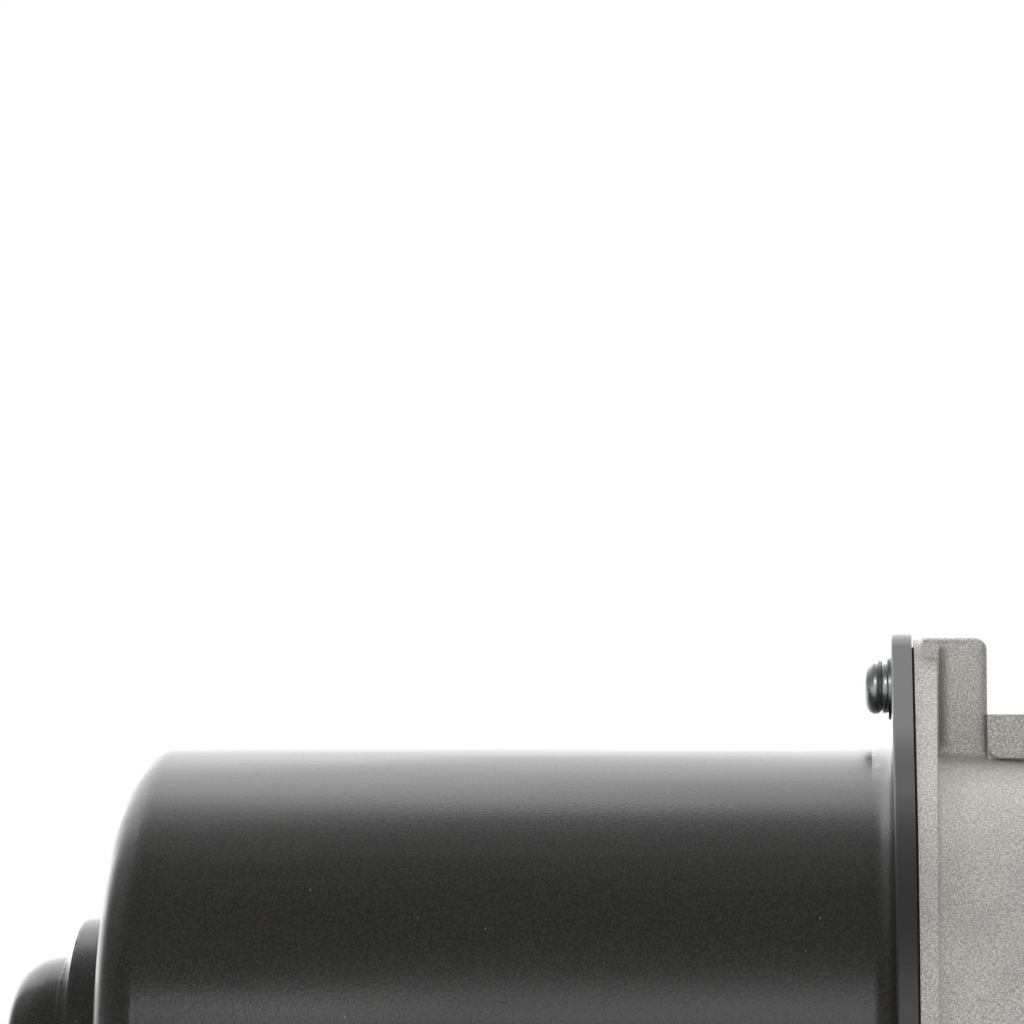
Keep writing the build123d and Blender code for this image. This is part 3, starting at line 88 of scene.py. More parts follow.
# Places along the motor's axis.
BOSS_START = -0.0548            # the bosses' end at the flange
BOSS_END = -0.0488              # the bosses' free end
BOSS_FOOT = (0.0003, 0.0017)    # past the start, where the shade at a boss's foot fades out
BOSS_RIM = (0.0014, 0.0002)     # before the end, where the shade at its rim comes in
SHADE_MARGIN = 0.0001           # keeps the flat faces at both ends out of the shade
SCREW_SEAT = (-0.06165, MOTOR_AXIS[1], MOTOR_AXIS[2])   # centre of the heads' seats
SHAFT_THREAD_R = 0.004
SHAFT_THREAD = 0.0107           # length of the thread on the output shaft
PLAIN_END = 0.001               # plain length before the thrust screw's thread
THREAD_OVERRUN = 0.001          # how far a groove runs on past the end of its piece
GROOVE_SIDES = 4                # a square on its corner
GROOVE_SHARE = 0.48             # half a groove's width, as a share of the pitch
GROOVE_START = 0.05             # the groove's first depth, as a share of its full one
GROOVE_GAIN = 18.0              # the rise of that share along the thread, which ends at 1
TIP_CHAMFER = 0.0004
FLAT = 0.00001                  # height of the thin cones that stand for flat rings
SHAPE_WELD = 0.000002           # nearer points of a made shape are one
PIECE_WELD = 0.000001           # nearer points of a finished piece are one
SHARP_ANGLE = 32.0              # in degrees: faces that meet at more show an edge

FLOOR_SPAN = 6.0
FLOOR_CENTRE = Vector((0.0, 0.0, cad_box[0][2]))
FLOOR_TONE = 0.88
FLOOR_ROUGHNESS = 0.9
FLOOR_WHITE = 0.8               # how far the floor near the object is plain white to the eye
FLOOR_NEAR = 0.25               # from its middle: where it begins to turn fully white
FLOOR_FAR = 0.95                # and where it is

# Strengths of the world: its plain light, and what gloss shows of it in front and behind.
WORLD_LIGHT = 0.5
WORLD_FRONT = 0.2
WORLD_BEHIND = 1.0
# Parts of a direction over which the world brightens: towards the back, upwards, and low
# down only straight behind.
REARWARD = (-0.55, 0.45)
UPWARD = (0.2, 0.75)
STRAIGHT_BACK = (0.62, 0.95)

CENTRE = (-0.06, 0.0, 0.0)
# Each lamp: its place, what it faces, its width, its height and its power in watts.
LAMPS = {
    "back_panel": ((0.08, 0.936, 0.821), (0.08, 0.093, 0.284), 2.9, 2.1, 41.0),
    "front_lamp": ((-0.05, -1.3, 0.33), CENTRE, 0.6, 0.2, 2.6),
}


# ---------------------------------------------------------------- node trees
def feed(tree, socket, value):
    """Joins an output to an input, or sets the input to a plain value."""
    if isinstance(value, bpy.types.NodeSocket):
        tree.links.new(value, socket)
    else:
        socket.default_value = value


def add_node(tree, kind, inputs=None, **settings):
    """A node of one kind, with its settings and its inputs by name or place."""
    made = tree.nodes.new(kind)
    for name, value in settings.items():
        setattr(made, name, value)
    for name, value in (inputs or {}).items():
        feed(tree, made.inputs[name], value)
    return made


def maths(tree, operation, first, second):
    """The result of one sum on two values."""
    inputs = {0: first, 1: second}
    return add_node(tree, "ShaderNodeMath", inputs, operation=operation).outputs[0]


def vectors(tree, operation, *values):
    """The results of one sum on vectors."""
    inputs = dict(enumerate(values))
    return add_node(tree, "ShaderNodeVectorMath", inputs, operation=operation).outputs


def spread(tree, value, low, high, to_low=0.0, to_high=1.0):
    """A value carried smoothly from one range to another."""
    ranged = {
        "Value": value,
        "From Min": low,
        "From Max": high,
        "To Min": to_low,
        "To Max": to_high,
    }
    made = add_node(tree, "ShaderNodeMapRange", ranged, interpolation_type="SMOOTHSTEP")
    return made.outputs["Result"]


def noise(tree, vector, scale, detail=2.0):
    """Plain noise between about 0.2 and 0.8."""
    inputs = {"Vector": vector, "Scale": scale, "Detail": detail}
    return add_node(tree, "ShaderNodeTexNoise", inputs).outputs[0]


def from_motor_axis(tree, place):
    """Distance of a point from the motor's axis."""
    offset = vectors(tree, "SUBTRACT", place, MOTOR_AXIS)[0]
    across = vectors(tree, "MULTIPLY", offset, (0.0, 1.0, 1.0))[0]
    return vectors(tree, "LENGTH", across)["Value"]


def mix_value(tree, share, first, second):
    """One value passing into another by a share."""
    return add_node(tree, "ShaderNodeMix", {0: share, 2: first, 3: second}).outputs[0]


def mix_colour(tree, share, first, second):
    """One colour passing into another by a share."""
    made = add_node(tree, "ShaderNodeMix", {0: share, 6: first, 7: second}, data_type="RGBA")
    return made.outputs[2]


def new_group(name, inputs, outputs):
    """An empty shader group with named sockets."""
    group = bpy.data.node_groups.new(name, "ShaderNodeTree")
    for socket_name, kind, value in inputs:
        socket = group.interface.new_socket(
            name=socket_name, in_out="INPUT", socket_type=kind
        )
        if value is not None:
            socket.default_value = value
    for socket_name, kind in outputs:
        group.interface.new_socket(name=socket_name, in_out="OUTPUT", socket_type=kind)
    return group, group.nodes.new("NodeGroupInput"), group.nodes.new("NodeGroupOutput")


FLOAT = "NodeSocketFloat"
VECTOR = "NodeSocketVector"
SLOW_SCALE = 0.04               # the scale of the grain's slow part, beside its fine one
SPECK_SIZES = (0.045, 0.3)      # the least size of a speck of dust, and its gain by lot


def build_grain():
    """Even fine grain: small pits and peaks over a slow unevenness."""
    group, given, result = new_group(
        "fine_grain",
        [("Vector", VECTOR, None), ("Scale", FLOAT, 1000.0), ("Slow Share", FLOAT, 0.3)],
        [("Height", FLOAT), ("Slow", FLOAT)],
    )
    fine = noise(group, given.outputs["Vector"], given.outputs["Scale"], detail=3.0)
    slow_scale = maths(group, "MULTIPLY", given.outputs["Scale"], SLOW_SCALE)
    slow = noise(group, given.outputs["Vector"], slow_scale)
    height = add_node(
        group, "ShaderNodeMix", {0: given.outputs["Slow Share"], 2: fine, 3: slow}
    ).outputs[0]
    group.links.new(height, result.inputs["Height"])
    group.links.new(slow, result.inputs["Slow"])
    return group


def build_dust():
    """Sparse pale specks of dust, as a mask."""
    group, given, result = new_group(
        "dust_specks",
        [("Vector", VECTOR, None), ("Scale", FLOAT, 400.0), ("Share", FLOAT, 0.05)],
        [("Mask", FLOAT)],
    )
    cells = add_node(
        group,
        "ShaderNodeTexVoronoi",
        {"Vector": given.outputs["Vector"], "Scale": given.outputs["Scale"]},
    )
    lot = add_node(group, "ShaderNodeSeparateColor", {0: cells.outputs["Color"]}).outputs[0]
    chosen = maths(group, "LESS_THAN", lot, given.outputs["Share"])
    smallest, variety = SPECK_SIZES
    size = maths(group, "ADD", maths(group, "MULTIPLY", lot, variety), smallest)
    speck = maths(group, "LESS_THAN", cells.outputs["Distance"], size)
    mask = maths(group, "MULTIPLY", chosen, speck)
    group.links.new(mask, result.inputs["Mask"])
    return group


GRAIN = build_grain()
DUST = build_dust()


def use_group(tree, group, inputs):
    """A group placed in a material with its own values."""
    made = tree.nodes.new("ShaderNodeGroup")
    made.node_tree = group
    for name, value in inputs.items():
        feed(tree, made.inputs[name], value)
    return made


def new_material(name):
    """An empty surface: the material, its tree, its shader and the object's coordinates."""
    material = bpy.data.materials.new(name)
    material.use_nodes = True
    tree = material.node_tree
    shader = tree.nodes["Principled BSDF"]
    place = tree.nodes.new("ShaderNodeTexCoord").outputs["Object"]
    return material, tree, shader, place


def bump(tree, shader, height, depth):
    """Relief of a depth in metres on a surface."""
    inputs = {"Strength": 1.0, "Distance": depth, "Height": height}
    made = add_node(tree, "ShaderNodeBump", inputs)
    tree.links.new(made.outputs["Normal"], shader.inputs["Normal"])


def rgba(red, green, blue):
    """A full colour from its three parts."""
    return (red, green, blue, 1.0)


# ---------------------------------------------------------------- finishes
NOISE_RANGE = (0.3, 0.7)        # where most of a noise's values lie

PAINT_TONES = (rgba(0.012, 0.0114, 0.0108), rgba(0.031, 0.0296, 0.0278))
PAINT_ROUGHNESS = (0.24, 0.36)
PAINT_RELIEF = 0.000022
FLECK_SCALE = 3600.0            # the fine unevenness of the paint's tone
FLECK_RANGE = (0.36, 0.64)
PATCH_SCALE = 90.0              # the broad unevenness of its gloss
# The cut edge's own dark tone on the disc, then a painted highlight: the lighter grey on the
# ears' edges.
CUT_EDGE_TONE_AND_EAR_HIGHLIGHT = (rgba(0.026, 0.0255, 0.025), rgba(0.145, 0.139, 0.141))    # disc and ears
CUT_EDGE_ROUGHNESS = 0.42
DUST_TONE = rgba(0.13, 0.127, 0.12)

BLASTED_TONES = (rgba(0.30, 0.285, 0.268), rgba(0.96, 0.925, 0.89))
BLASTED_ROUGHNESS = (0.66, 0.74)
BLASTED_METALLIC = 0.6
BLASTED_RELIEF = 0.00005
BLOTCH_TONES = (rgba(0.52, 0.50, 0.475), rgba(0.68, 0.66, 0.64))
BLOTCH_SCALE = 160.0
BLOTCH_SHARE = 0.3
SHADED_TONE = rgba(0.16, 0.15, 0.142)
FOOT_SHADE = 0.75
RIM_SHADE = 0.25


def can_paint():
    """Thin satin black paint over drawn sheet steel, rougher on the flange's cut edge, with a
    painted highlight on the ears' cut edges.
    """
    material, tree, shader, place = new_material("can_paint")
    parts = add_node(tree, "ShaderNodeSeparateXYZ", {0: place}).outputs
    cut_edge = spread(tree, parts["X"], FLANGE_FACE, FLANGE_FACE + SHEET_EDGE)
    ear_highlight_share = spread(tree, from_motor_axis(tree, place), *EAR_FADE)
    drawn = vectors(tree, "MULTIPLY", place, DRAWN_STRETCH)[0]
    grain = use_group(tree, GRAIN, {"Vector": place, "Scale": 2400.0, "Slow Share": 0.3})
    fine = spread(tree, noise(tree, place, FLECK_SCALE), *FLECK_RANGE)
    patches = noise(tree, drawn, PATCH_SCALE)
    dust = use_group(tree, DUST, {"Vector": place, "Scale": 620.0, "Share": 0.14})
    black = mix_colour(tree, fine, *PAINT_TONES)
    # Painted highlight: the cut edge turns from dark on the disc to light grey on the ears.
    edge = mix_colour(tree, ear_highlight_share, *CUT_EDGE_TONE_AND_EAR_HIGHLIGHT)
    black = mix_colour(tree, cut_edge, black, edge)
    colour = mix_colour(tree, dust.outputs["Mask"], black, DUST_TONE)
    tree.links.new(colour, shader.inputs["Base Color"])
    rough = spread(tree, patches, *NOISE_RANGE, *PAINT_ROUGHNESS)
    rough = mix_value(tree, cut_edge, rough, CUT_EDGE_ROUGHNESS)
    tree.links.new(rough, shader.inputs["Roughness"])
    bump(tree, shader, grain.outputs["Height"], PAINT_RELIEF)
    return material


def cast_aluminium():
    """Die-cast aluminium after shot blasting: pale, matt and finely pitted, with painted shade at
    the screw bosses' foot and rim.
    """
    material, tree, shader, place = new_material("cast_aluminium")
    grain = use_group(tree, GRAIN, {"Vector": place, "Scale": 5200.0, "Slow Share": 0.12})
    blotch = noise(tree, place, BLOTCH_SCALE, detail=3.0)
    tone = spread(tree, grain.outputs["Height"], *NOISE_RANGE)
    fine = mix_colour(tree, tone, *BLASTED_TONES)
    worn = mix_colour(tree, blotch, *BLOTCH_TONES)
    colour = mix_colour(tree, BLOTCH_SHARE, fine, worn)
    # Painted shade: the colour darkens towards SHADED_TONE at each screw boss's foot by the
    # flange and towards its free rim, on the bosses' sides only.
    along = add_node(tree, "ShaderNodeSeparateXYZ", {0: place}).outputs["X"]
    foot_near, foot_far = (BOSS_START + step for step in BOSS_FOOT)
    rim_near, rim_far = (BOSS_END - step for step in BOSS_RIM)
    foot = spread(tree, along, foot_near, foot_far, FOOT_SHADE, 0.0)
    far_side = spread(tree, along, rim_near, rim_far, 0.0, RIM_SHADE)
    behind_flange = maths(tree, "GREATER_THAN", along, BOSS_START + SHADE_MARGIN)
    before_end = maths(tree, "LESS_THAN", along, BOSS_END - SHADE_MARGIN)
    shade = maths(tree, "MULTIPLY", maths(tree, "MAXIMUM", foot, far_side), behind_flange)
    shade = maths(tree, "MULTIPLY", shade, before_end)
    off_axis = from_motor_axis(tree, place)
    shade = maths(tree, "MULTIPLY", shade, spread(tree, off_axis, *BOSS_FADE))
    shade = maths(tree, "MULTIPLY", shade, spread(tree, off_axis, *BOSS_CROWN, 1.0, 0.0))
    colour = mix_colour(tree, shade, colour, SHADED_TONE)
    tree.links.new(colour, shader.inputs["Base Color"])
    shader.inputs["Metallic"].default_value = BLASTED_METALLIC
    rough = spread(tree, grain.outputs["Slow"], *NOISE_RANGE, *BLASTED_ROUGHNESS)
    tree.links.new(rough, shader.inputs["Roughness"])
    bump(tree, shader, grain.outputs["Height"], BLASTED_RELIEF)
    return material


def plain_finish(name, metallic, dark, light, rough_low, rough_high, scale, relief):
    """A finish whose tone and gloss vary a little with its grain."""
    material, tree, shader, place = new_material(name)
    grain = use_group(tree, GRAIN, {"Vector": place, "Scale": scale, "Slow Share": 0.5})
    colour = mix_colour(tree, grain.outputs["Height"], rgba(*dark), rgba(*light))
    tree.links.new(colour, shader.inputs["Base Color"])
    shader.inputs["Metallic"].default_value = metallic
    rough = spread(tree, grain.outputs["Slow"], *NOISE_RANGE, rough_low, rough_high)
    tree.links.new(rough, shader.inputs["Roughness"])
    bump(tree, shader, grain.outputs["Height"], relief)
    return material


# Each finish: its darkest and lightest tone, its lowest and highest roughness, and the scale
# and relief of its grain.
METALS = {
    "zinc_steel": ((0.38, 0.405, 0.395), (0.55, 0.575, 0.565), 0.27, 0.38, 900.0, 0.00001),
    "bright_steel": ((0.45, 0.45, 0.46), (0.6, 0.6, 0.61), 0.25, 0.4, 900.0, 0.00001),
    "spring_steel": ((0.12, 0.12, 0.13), (0.2, 0.2, 0.21), 0.3, 0.45, 900.0, 0.00001),
    "shaft_steel": ((0.52, 0.52, 0.53), (0.66, 0.66, 0.67), 0.15, 0.28, 1400.0, 0.000006),
    "core_steel": ((0.26, 0.26, 0.27), (0.4, 0.4, 0.41), 0.4, 0.6, 1400.0, 0.00002),
    "bronze": ((0.38, 0.24, 0.11), (0.56, 0.38, 0.2), 0.45, 0.6, 2600.0, 0.00003),
    "copper": ((0.62, 0.30, 0.18), (0.76, 0.42, 0.28), 0.2, 0.4, 900.0, 0.00001),
    "winding_wire": ((0.36, 0.11, 0.04), (0.55, 0.2, 0.08), 0.25, 0.4, 700.0, 0.00004),
    "tinned_brass": ((0.55, 0.49, 0.36), (0.7, 0.65, 0.52), 0.25, 0.4, 900.0, 0.00001),
}
OTHERS = {
    "ferrite": ((0.045, 0.045, 0.048), (0.08, 0.08, 0.085), 0.55, 0.75, 2200.0, 0.00003),
    "carbon": ((0.02, 0.02, 0.02), (0.05, 0.045, 0.04), 0.4, 0.6, 2200.0, 0.00002),
    "fibre": ((0.035, 0.033, 0.03), (0.06, 0.056, 0.05), 0.7, 0.85, 1600.0, 0.00003),
    "felt": ((0.46, 0.42, 0.34), (0.6, 0.56, 0.47), 0.85, 0.95, 1600.0, 0.0002),
    "phenolic": ((0.12, 0.06, 0.03), (0.19, 0.10, 0.05), 0.35, 0.5, 900.0, 0.00001),
    "gear_plastic": ((0.76, 0.74, 0.66), (0.84, 0.82, 0.76), 0.3, 0.4, 600.0, 0.00001),
    "cover_plastic": ((0.014, 0.014, 0.015), (0.024, 0.024, 0.026), 0.42, 0.55, 2000.0, 0.00004),
    "rubber": ((0.012, 0.012, 0.012), (0.022, 0.022, 0.022), 0.6, 0.75, 1800.0, 0.00003),
}
FINISHES = {"can_paint": can_paint(), "cast_aluminium": cast_aluminium()}
FINISHES.update({name: plain_finish(name, 1.0, *values) for name, values in METALS.items()})
FINISHES.update({name: plain_finish(name, 0.0, *values) for name, values in OTHERS.items()})


def dress_nodes():
    """Every solid takes the finish that the record names for it."""
    slots = {part["node"]: part["material_slot"] for part in frame["record"]["subparts"]}
    for name, solid in nodes.items():
        solid.data.materials.clear()
        solid.data.materials.append(FINISHES[slots[name]])


# ---------------------------------------------------------------- screws and threads
INTEGER = "NodeSocketInt"
SHAPE = "NodeSocketGeometry"
FINISH = "NodeSocketMaterial"
# A screw head from its crown to its seat: shares of its height and of its radius.
HEAD_CURVE = [
    (1.0, 0.0),
    (0.985, 0.3),
    (0.93, 0.57),
    (0.82, 0.79),
    (0.64, 0.94),
    (0.44, 1.0),
    (0.22, 0.985),
    (0.08, 0.93),
    (0.0, 0.85),
]


def new_shape(name, inputs):
    """An empty geometry tree with named inputs and one geometry output."""
    group = bpy.data.node_groups.new(name, "GeometryNodeTree")
    group.interface.new_socket(name="Geometry", in_out="OUTPUT", socket_type=SHAPE)
    for socket_name, kind, value in inputs:
        socket = group.interface.new_socket(name=socket_name, in_out="INPUT", socket_type=kind)
        if value is not None:
            socket.default_value = value
    return group, group.nodes.new("NodeGroupInput").outputs, group.nodes.new("NodeGroupOutput")


def moved(tree, shape, place, turn=(0.0, 0.0, 0.0)):
    """A shape turned about the origin and then carried to a place."""
    inputs = {"Geometry": shape, "Translation": place, "Rotation": turn}
    return add_node(tree, "GeometryNodeTransform", inputs).outputs[0]


def along_z(tree, distance):
    """A place at a distance along Z."""
    return add_node(tree, "ShaderNodeCombineXYZ", {2: distance}).outputs[0]


def turned(tree, profile, sides):
    """A solid turned about Z from pairs of distance and radius, closed at both ends."""
    join = tree.nodes.new("GeometryNodeJoinGeometry")
    for (start, first), (end, second) in zip(profile, profile[1:]):
        depth = maths(tree, "SUBTRACT", end, start)
        sizes = {"Vertices": sides, "Radius Bottom": first, "Radius Top": second, "Depth": depth}
        ring = add_node(tree, "GeometryNodeMeshCone", sizes, fill_type="NONE").outputs[0]
        tree.links.new(moved(tree, ring, along_z(tree, start)), join.inputs[0])
    return welded(tree, join.outputs[0])


def welded(tree, shape):
    """A shape whose loose edges are joined."""
    inputs = {"Geometry": shape, "Distance": SHAPE_WELD}
    return add_node(tree, "GeometryNodeMergeByDistance", inputs).outputs[0]


def cut_away(tree, solid, cutter):
    """A solid less a cutter."""
    inputs = {"Mesh 1": solid, "Mesh 2": cutter}
    settings = {"operation": "DIFFERENCE", "solver": "MANIFOLD"}
    return add_node(tree, "GeometryNodeMeshBoolean", inputs, **settings).outputs["Mesh"]


def dressed(tree, shape, material, result):
    """The tree's last steps: real geometry in its finish."""
    real = add_node(tree, "GeometryNodeRealizeInstances", {0: shape}).outputs[0]
    inputs = {"Geometry": real, "Material": material}
    made = add_node(tree, "GeometryNodeSetMaterial", inputs).outputs[0]
    tree.links.new(made, result.inputs[0])


def build_head_screws():
    """Round-headed screws with a cross recess on a circle about Z, their heads downwards."""
    group, given, result = new_shape(
        "head_screws",
        [
            ("Circle Radius", FLOAT, 0.0454),
            ("Count", INTEGER, 3),
            ("Head Radius", FLOAT, 0.0035),
            ("Head Height", FLOAT, 0.0023),
            ("Shank Radius", FLOAT, 0.002),
            ("Reach", FLOAT, 0.011),
            ("Recess Width", FLOAT, 0.00085),
            ("Recess Span", FLOAT, 0.0038),
            ("Recess Depth", FLOAT, 0.0013),
            ("Sides", INTEGER, 48),
            ("Place", VECTOR, None),
            ("Turn", VECTOR, None),
            ("Finish", FINISH, None),
        ],
    )
    profile = [
        (
            maths(group, "MULTIPLY", given["Head Height"], -rise),
            maths(group, "MULTIPLY", given["Head Radius"], width),
        )
        for rise, width in HEAD_CURVE
    ]
    shank = given["Shank Radius"]
    profile.append((FLAT, shank))
    profile.append((maths(group, "SUBTRACT", given["Reach"], TIP_CHAMFER), shank))
    profile.append((given["Reach"], maths(group, "SUBTRACT", shank, TIP_CHAMFER)))
    profile.append((maths(group, "ADD", given["Reach"], FLAT), 0.0))
    screw = turned(group, profile, given["Sides"])
    cross = add_node(group, "GeometryNodeMeshBoolean", operation="UNION", solver="MANIFOLD")
    # The bars of the cross lie half in the head and half above it.
    depth = maths(group, "MULTIPLY", given["Recess Depth"], 2.0)
    span, width = given["Recess Span"], given["Recess Width"]
    for across, along in ((span, width), (width, span)):
        size = add_node(group, "ShaderNodeCombineXYZ", {0: across, 1: along, 2: depth}).outputs[0]
        bar = add_node(group, "GeometryNodeMeshCube", {"Size": size}).outputs[0]
        group.links.new(bar, cross.inputs["Mesh 2"])
    crown = maths(group, "MULTIPLY", given["Head Height"], -1.0)
    recess = moved(group, cross.outputs["Mesh"], along_z(group, crown))
    screw = cut_away(group, screw, recess)
    sizes = {"Vertices": given["Count"], "Radius": given["Circle Radius"]}
    circle = add_node(group, "GeometryNodeMeshCircle", sizes).outputs[0]
    inputs = {"Points": circle, "Instance": screw}
    screws = add_node(group, "GeometryNodeInstanceOnPoints", inputs).outputs[0]
    screws = moved(group, screws, given["Place"], given["Turn"])
    dressed(group, screws, given["Finish"], result)
    return group


def build_cut_thread():
    """A solid with a pointed groove wound into it about a turned Z axis."""
    group, given, result = new_shape(
        "cut_thread",
        [
            ("Geometry", SHAPE, None),
            ("Crest Radius", FLOAT, 0.004),
            ("Pitch", FLOAT, 0.00125),
            ("Start", FLOAT, 0.0),
            ("End", FLOAT, 0.01),
            ("Turn Points", INTEGER, 40),
            ("Place", VECTOR, None),
            ("Turn", VECTOR, None),
            ("Finish", FINISH, None),
        ],
    )
    length = maths(group, "SUBTRACT", given["End"], given["Start"])
    sizes = {
        "Resolution": given["Turn Points"],
        "Rotations": maths(group, "DIVIDE", length, given["Pitch"]),
        "Start Radius": given["Crest Radius"],
        "End Radius": given["Crest Radius"],
        "Height": length,
    }
    path = add_node(group, "GeometryNodeCurveSpiral", sizes).outputs[0]
    path = add_node(group, "GeometryNodeSetCurveNormal", {0: path}, mode="Z_UP").outputs[0]
    half = maths(group, "MULTIPLY", given["Pitch"], GROOVE_SHARE)
    sizes = {"Resolution": GROOVE_SIDES, "Radius": half}
    section = add_node(group, "GeometryNodeCurvePrimitiveCircle", sizes).outputs[0]
    along = group.nodes.new("GeometryNodeSplineParameter").outputs["Factor"]
    gained = maths(group, "MULTIPLY", along, GROOVE_GAIN)
    deepening = maths(group, "ADD", gained, GROOVE_START)
    inputs = {
        "Curve": path,
        "Profile Curve": section,
        "Scale": maths(group, "MINIMUM", deepening, 1.0),
        "Fill Caps": True,
    }
    groove = add_node(group, "GeometryNodeCurveToMesh", inputs).outputs[0]
    groove = moved(group, groove, along_z(group, given["Start"]))
    groove = moved(group, groove, given["Place"], given["Turn"])
    cut = cut_away(group, welded(group, given["Geometry"]), groove)
    dressed(group, cut, given["Finish"], result)
    return group


def made_by(group, values, name, body, replaced, start=None):
    """A plain mesh made by a geometry tree, riding a body in place of the named solids."""
    mesh = start.copy() if start else bpy.data.meshes.new(name)
    piece = bpy.data.objects.new(name, mesh)
    bpy.context.scene.collection.objects.link(piece)
    shaper = piece.modifiers.new("shaper", "NODES")
    shaper.node_group = group
    for item in group.interface.items_tree:
        if item.in_out == "INPUT" and item.name in values:
            shaper[item.identifier] = values[item.name]
    graph = bpy.context.evaluated_depsgraph_get()
    plain = bpy.data.meshes.new_from_object(piece.evaluated_get(graph))
    piece.modifiers.clear()
    piece.data = plain
    whole = bmesh.new()
    whole.from_mesh(plain)
    bmesh.ops.remove_doubles(whole, verts=whole.verts, dist=PIECE_WELD)
    bmesh.ops.recalc_face_normals(whole, faces=whole.faces)
    whole.to_mesh(plain)
    whole.free()
    plain.shade_smooth()
    plain.set_sharp_from_angle(angle=math.radians(SHARP_ANGLE))
    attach(piece, body)
    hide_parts(*replaced)


def build_screws_and_threads():
    """The flange's screws, and the threads of the thrust screw and the output shaft."""
    made_by(
        build_head_screws(),
        {
            "Place": SCREW_SEAT,
            "Turn": (math.pi, -QUARTER_TURN, 0.0),
            "Finish": FINISHES["zinc_steel"],
        },
        "flange_screws",
        "housing",
        ["yoke_screws"],
    )
    thread = build_cut_thread()
    low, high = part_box("thrust_screw")
    made_by(
        thread,
        {
            "Crest Radius": (high[2] - low[2]) / 2,
            "Start": low[0] + PLAIN_END,
            "End": high[0] + THREAD_OVERRUN,
            "Place": MOTOR_AXIS,
            "Turn": (0.0, QUARTER_TURN, 0.0),
            "Finish": FINISHES["zinc_steel"],
        },
        "thrust_screw_threaded",
        "housing",
        ["thrust_screw"],
        nodes["thrust_screw"].data,
    )
    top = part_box("output_shaft")[1][1]
    made_by(
        thread,
        {
            "Crest Radius": SHAFT_THREAD_R,
            "Start": top - SHAFT_THREAD,
            "End": top + THREAD_OVERRUN,
            "Turn": (-QUARTER_TURN, 0.0, 0.0),
            "Finish": FINISHES["shaft_steel"],
        },
        "output_shaft_threaded",
        "output",
        ["output_shaft"],
        nodes["output_shaft"].data,
    )


def build_brush_springs():
    """The brushes' coil springs, copied to ride the housing in place of their solids."""
    for joint in frame["record"]["behaviour"]["joints"]:
        if joint["type"] != "slide":
            continue
        brush = joint["child"]
        node = brush.replace("brush_", "brush_spring_")
        mesh = nodes[node].data.copy()
        spring = bpy.data.objects.new(brush.replace("brush_", "coil_spring_"), mesh)
        bpy.context.scene.collection.objects.link(spring)
        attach(spring, "housing")
        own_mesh(spring)
        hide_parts(node)


# ---------------------------------------------------------------- studio
def build_floor():
    """A wide white floor that the object's lowest rim stands on."""
    half = FLOOR_SPAN / 2
    corners = [(-half, -half, 0), (half, -half, 0), (half, half, 0), (-half, half, 0)]
    mesh = bpy.data.meshes.new("floor")
    mesh.from_pydata([Vector(c) + FLOOR_CENTRE for c in corners], [], [(0, 1, 2, 3)])
    floor = bpy.data.objects.new("floor", mesh)
    bpy.context.scene.collection.objects.link(floor)
    material = bpy.data.materials.new("floor_white")
    material.use_nodes = True
    tree = material.node_tree
    shader = tree.nodes["Principled BSDF"]
    shader.inputs["Base Color"].default_value = rgba(FLOOR_TONE, FLOOR_TONE, FLOOR_TONE)
    shader.inputs["Roughness"].default_value = FLOOR_ROUGHNESS
    glow = add_node(tree, "ShaderNodeEmission", {"Color": rgba(1, 1, 1), "Strength": 1.0})
    rays = tree.nodes.new("ShaderNodeLightPath").outputs
    place = tree.nodes.new("ShaderNodeTexCoord").outputs["Object"]
    away = vectors(tree, "LENGTH", place)["Value"]
    share = spread(tree, away, FLOOR_NEAR, FLOOR_FAR, FLOOR_WHITE, 1.0)
    seen = maths(tree, "MULTIPLY", rays["Is Camera Ray"], share)
    mixed = add_node(
        tree, "ShaderNodeMixShader", {0: seen, 1: shader.outputs[0], 2: glow.outputs[0]}
    )
    tree.links.new(mixed.outputs[0], tree.nodes["Material Output"].inputs["Surface"])
    mesh.materials.append(material)


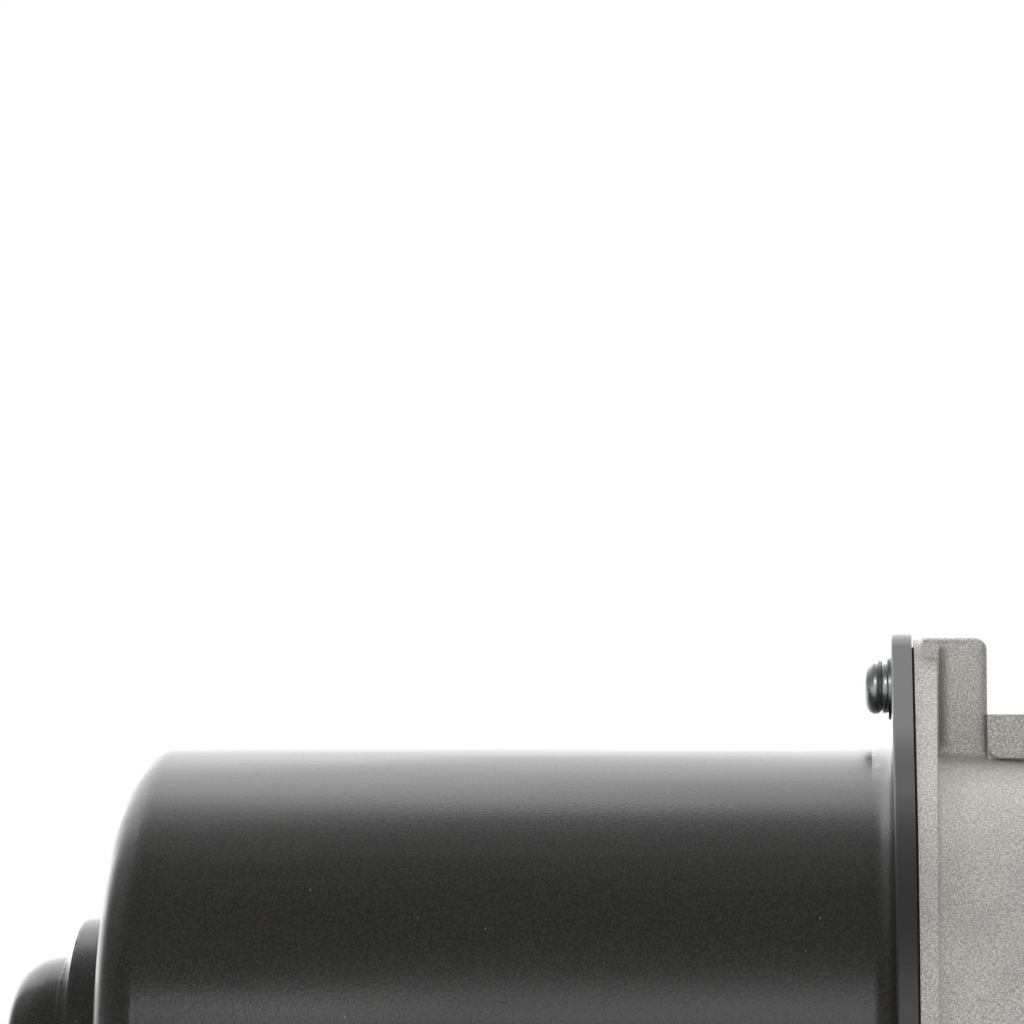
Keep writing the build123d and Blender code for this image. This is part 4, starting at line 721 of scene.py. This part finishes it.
def build_world():
    """White to the eye, a plain soft grey as light, and bright behind and above to gloss."""
    world = bpy.data.worlds.new("studio")
    bpy.context.scene.world = world
    world.use_nodes = True
    tree = world.node_tree
    tree.nodes.clear()
    rays = tree.nodes.new("ShaderNodeLightPath").outputs
    seen = maths(tree, "MAXIMUM", rays["Is Camera Ray"], rays["Is Transmission Ray"])
    direction = tree.nodes.new("ShaderNodeTexCoord").outputs["Generated"]
    parts = add_node(tree, "ShaderNodeSeparateXYZ", {0: direction}).outputs
    rearward = spread(tree, parts["Y"], *REARWARD)
    high = spread(tree, parts["Z"], *UPWARD)
    straight_back = spread(tree, parts["Y"], *STRAIGHT_BACK)
    bright = maths(tree, "MULTIPLY", rearward, maths(tree, "MAXIMUM", high, straight_back))
    mirrored = mix_value(tree, bright, WORLD_FRONT, WORLD_BEHIND)
    light = mix_value(tree, rays["Is Glossy Ray"], WORLD_LIGHT, mirrored)
    strength = mix_value(tree, seen, light, 1.0)
    back = add_node(
        tree, "ShaderNodeBackground", {"Color": rgba(1, 1, 1), "Strength": strength}
    )
    output = tree.nodes.new("ShaderNodeOutputWorld")
    tree.links.new(back.outputs[0], output.inputs["Surface"])


def build_lamp(name, place, aim, width, height, power):
    """A soft rectangular lamp that the eye doesn't see."""
    data = bpy.data.lights.new(name, "AREA")
    data.shape = "RECTANGLE"
    data.size = width
    data.size_y = height
    data.energy = power
    lamp = bpy.data.objects.new(name, data)
    lamp.location = place
    lamp.rotation_euler = (Vector(aim) - Vector(place)).to_track_quat("-Z", "Y").to_euler()
    lamp.visible_camera = False
    bpy.context.scene.collection.objects.link(lamp)


def build_camera():
    """The camera, low beside the motor and close to square on to it."""
    data = bpy.data.cameras.new("camera")
    data.lens = CAMERA_LENS
    data.sensor_width = SENSOR_WIDTH
    data.clip_start = NEAREST_SEEN
    data.clip_end = FARTHEST_SEEN
    camera = bpy.data.objects.new("camera", data)
    camera.location = CAMERA_PLACE
    camera.rotation_euler = (CAMERA_AIM - CAMERA_PLACE).to_track_quat("-Z", "Y").to_euler()
    bpy.context.scene.collection.objects.link(camera)
    bpy.context.scene.camera = camera


dress_nodes()
build_screws_and_threads()
build_brush_springs()
build_floor()
build_world()
for lamp_name, settings in LAMPS.items():
    build_lamp(lamp_name, *settings)
build_camera()
bpy.context.scene.view_settings.view_transform = "Standard"
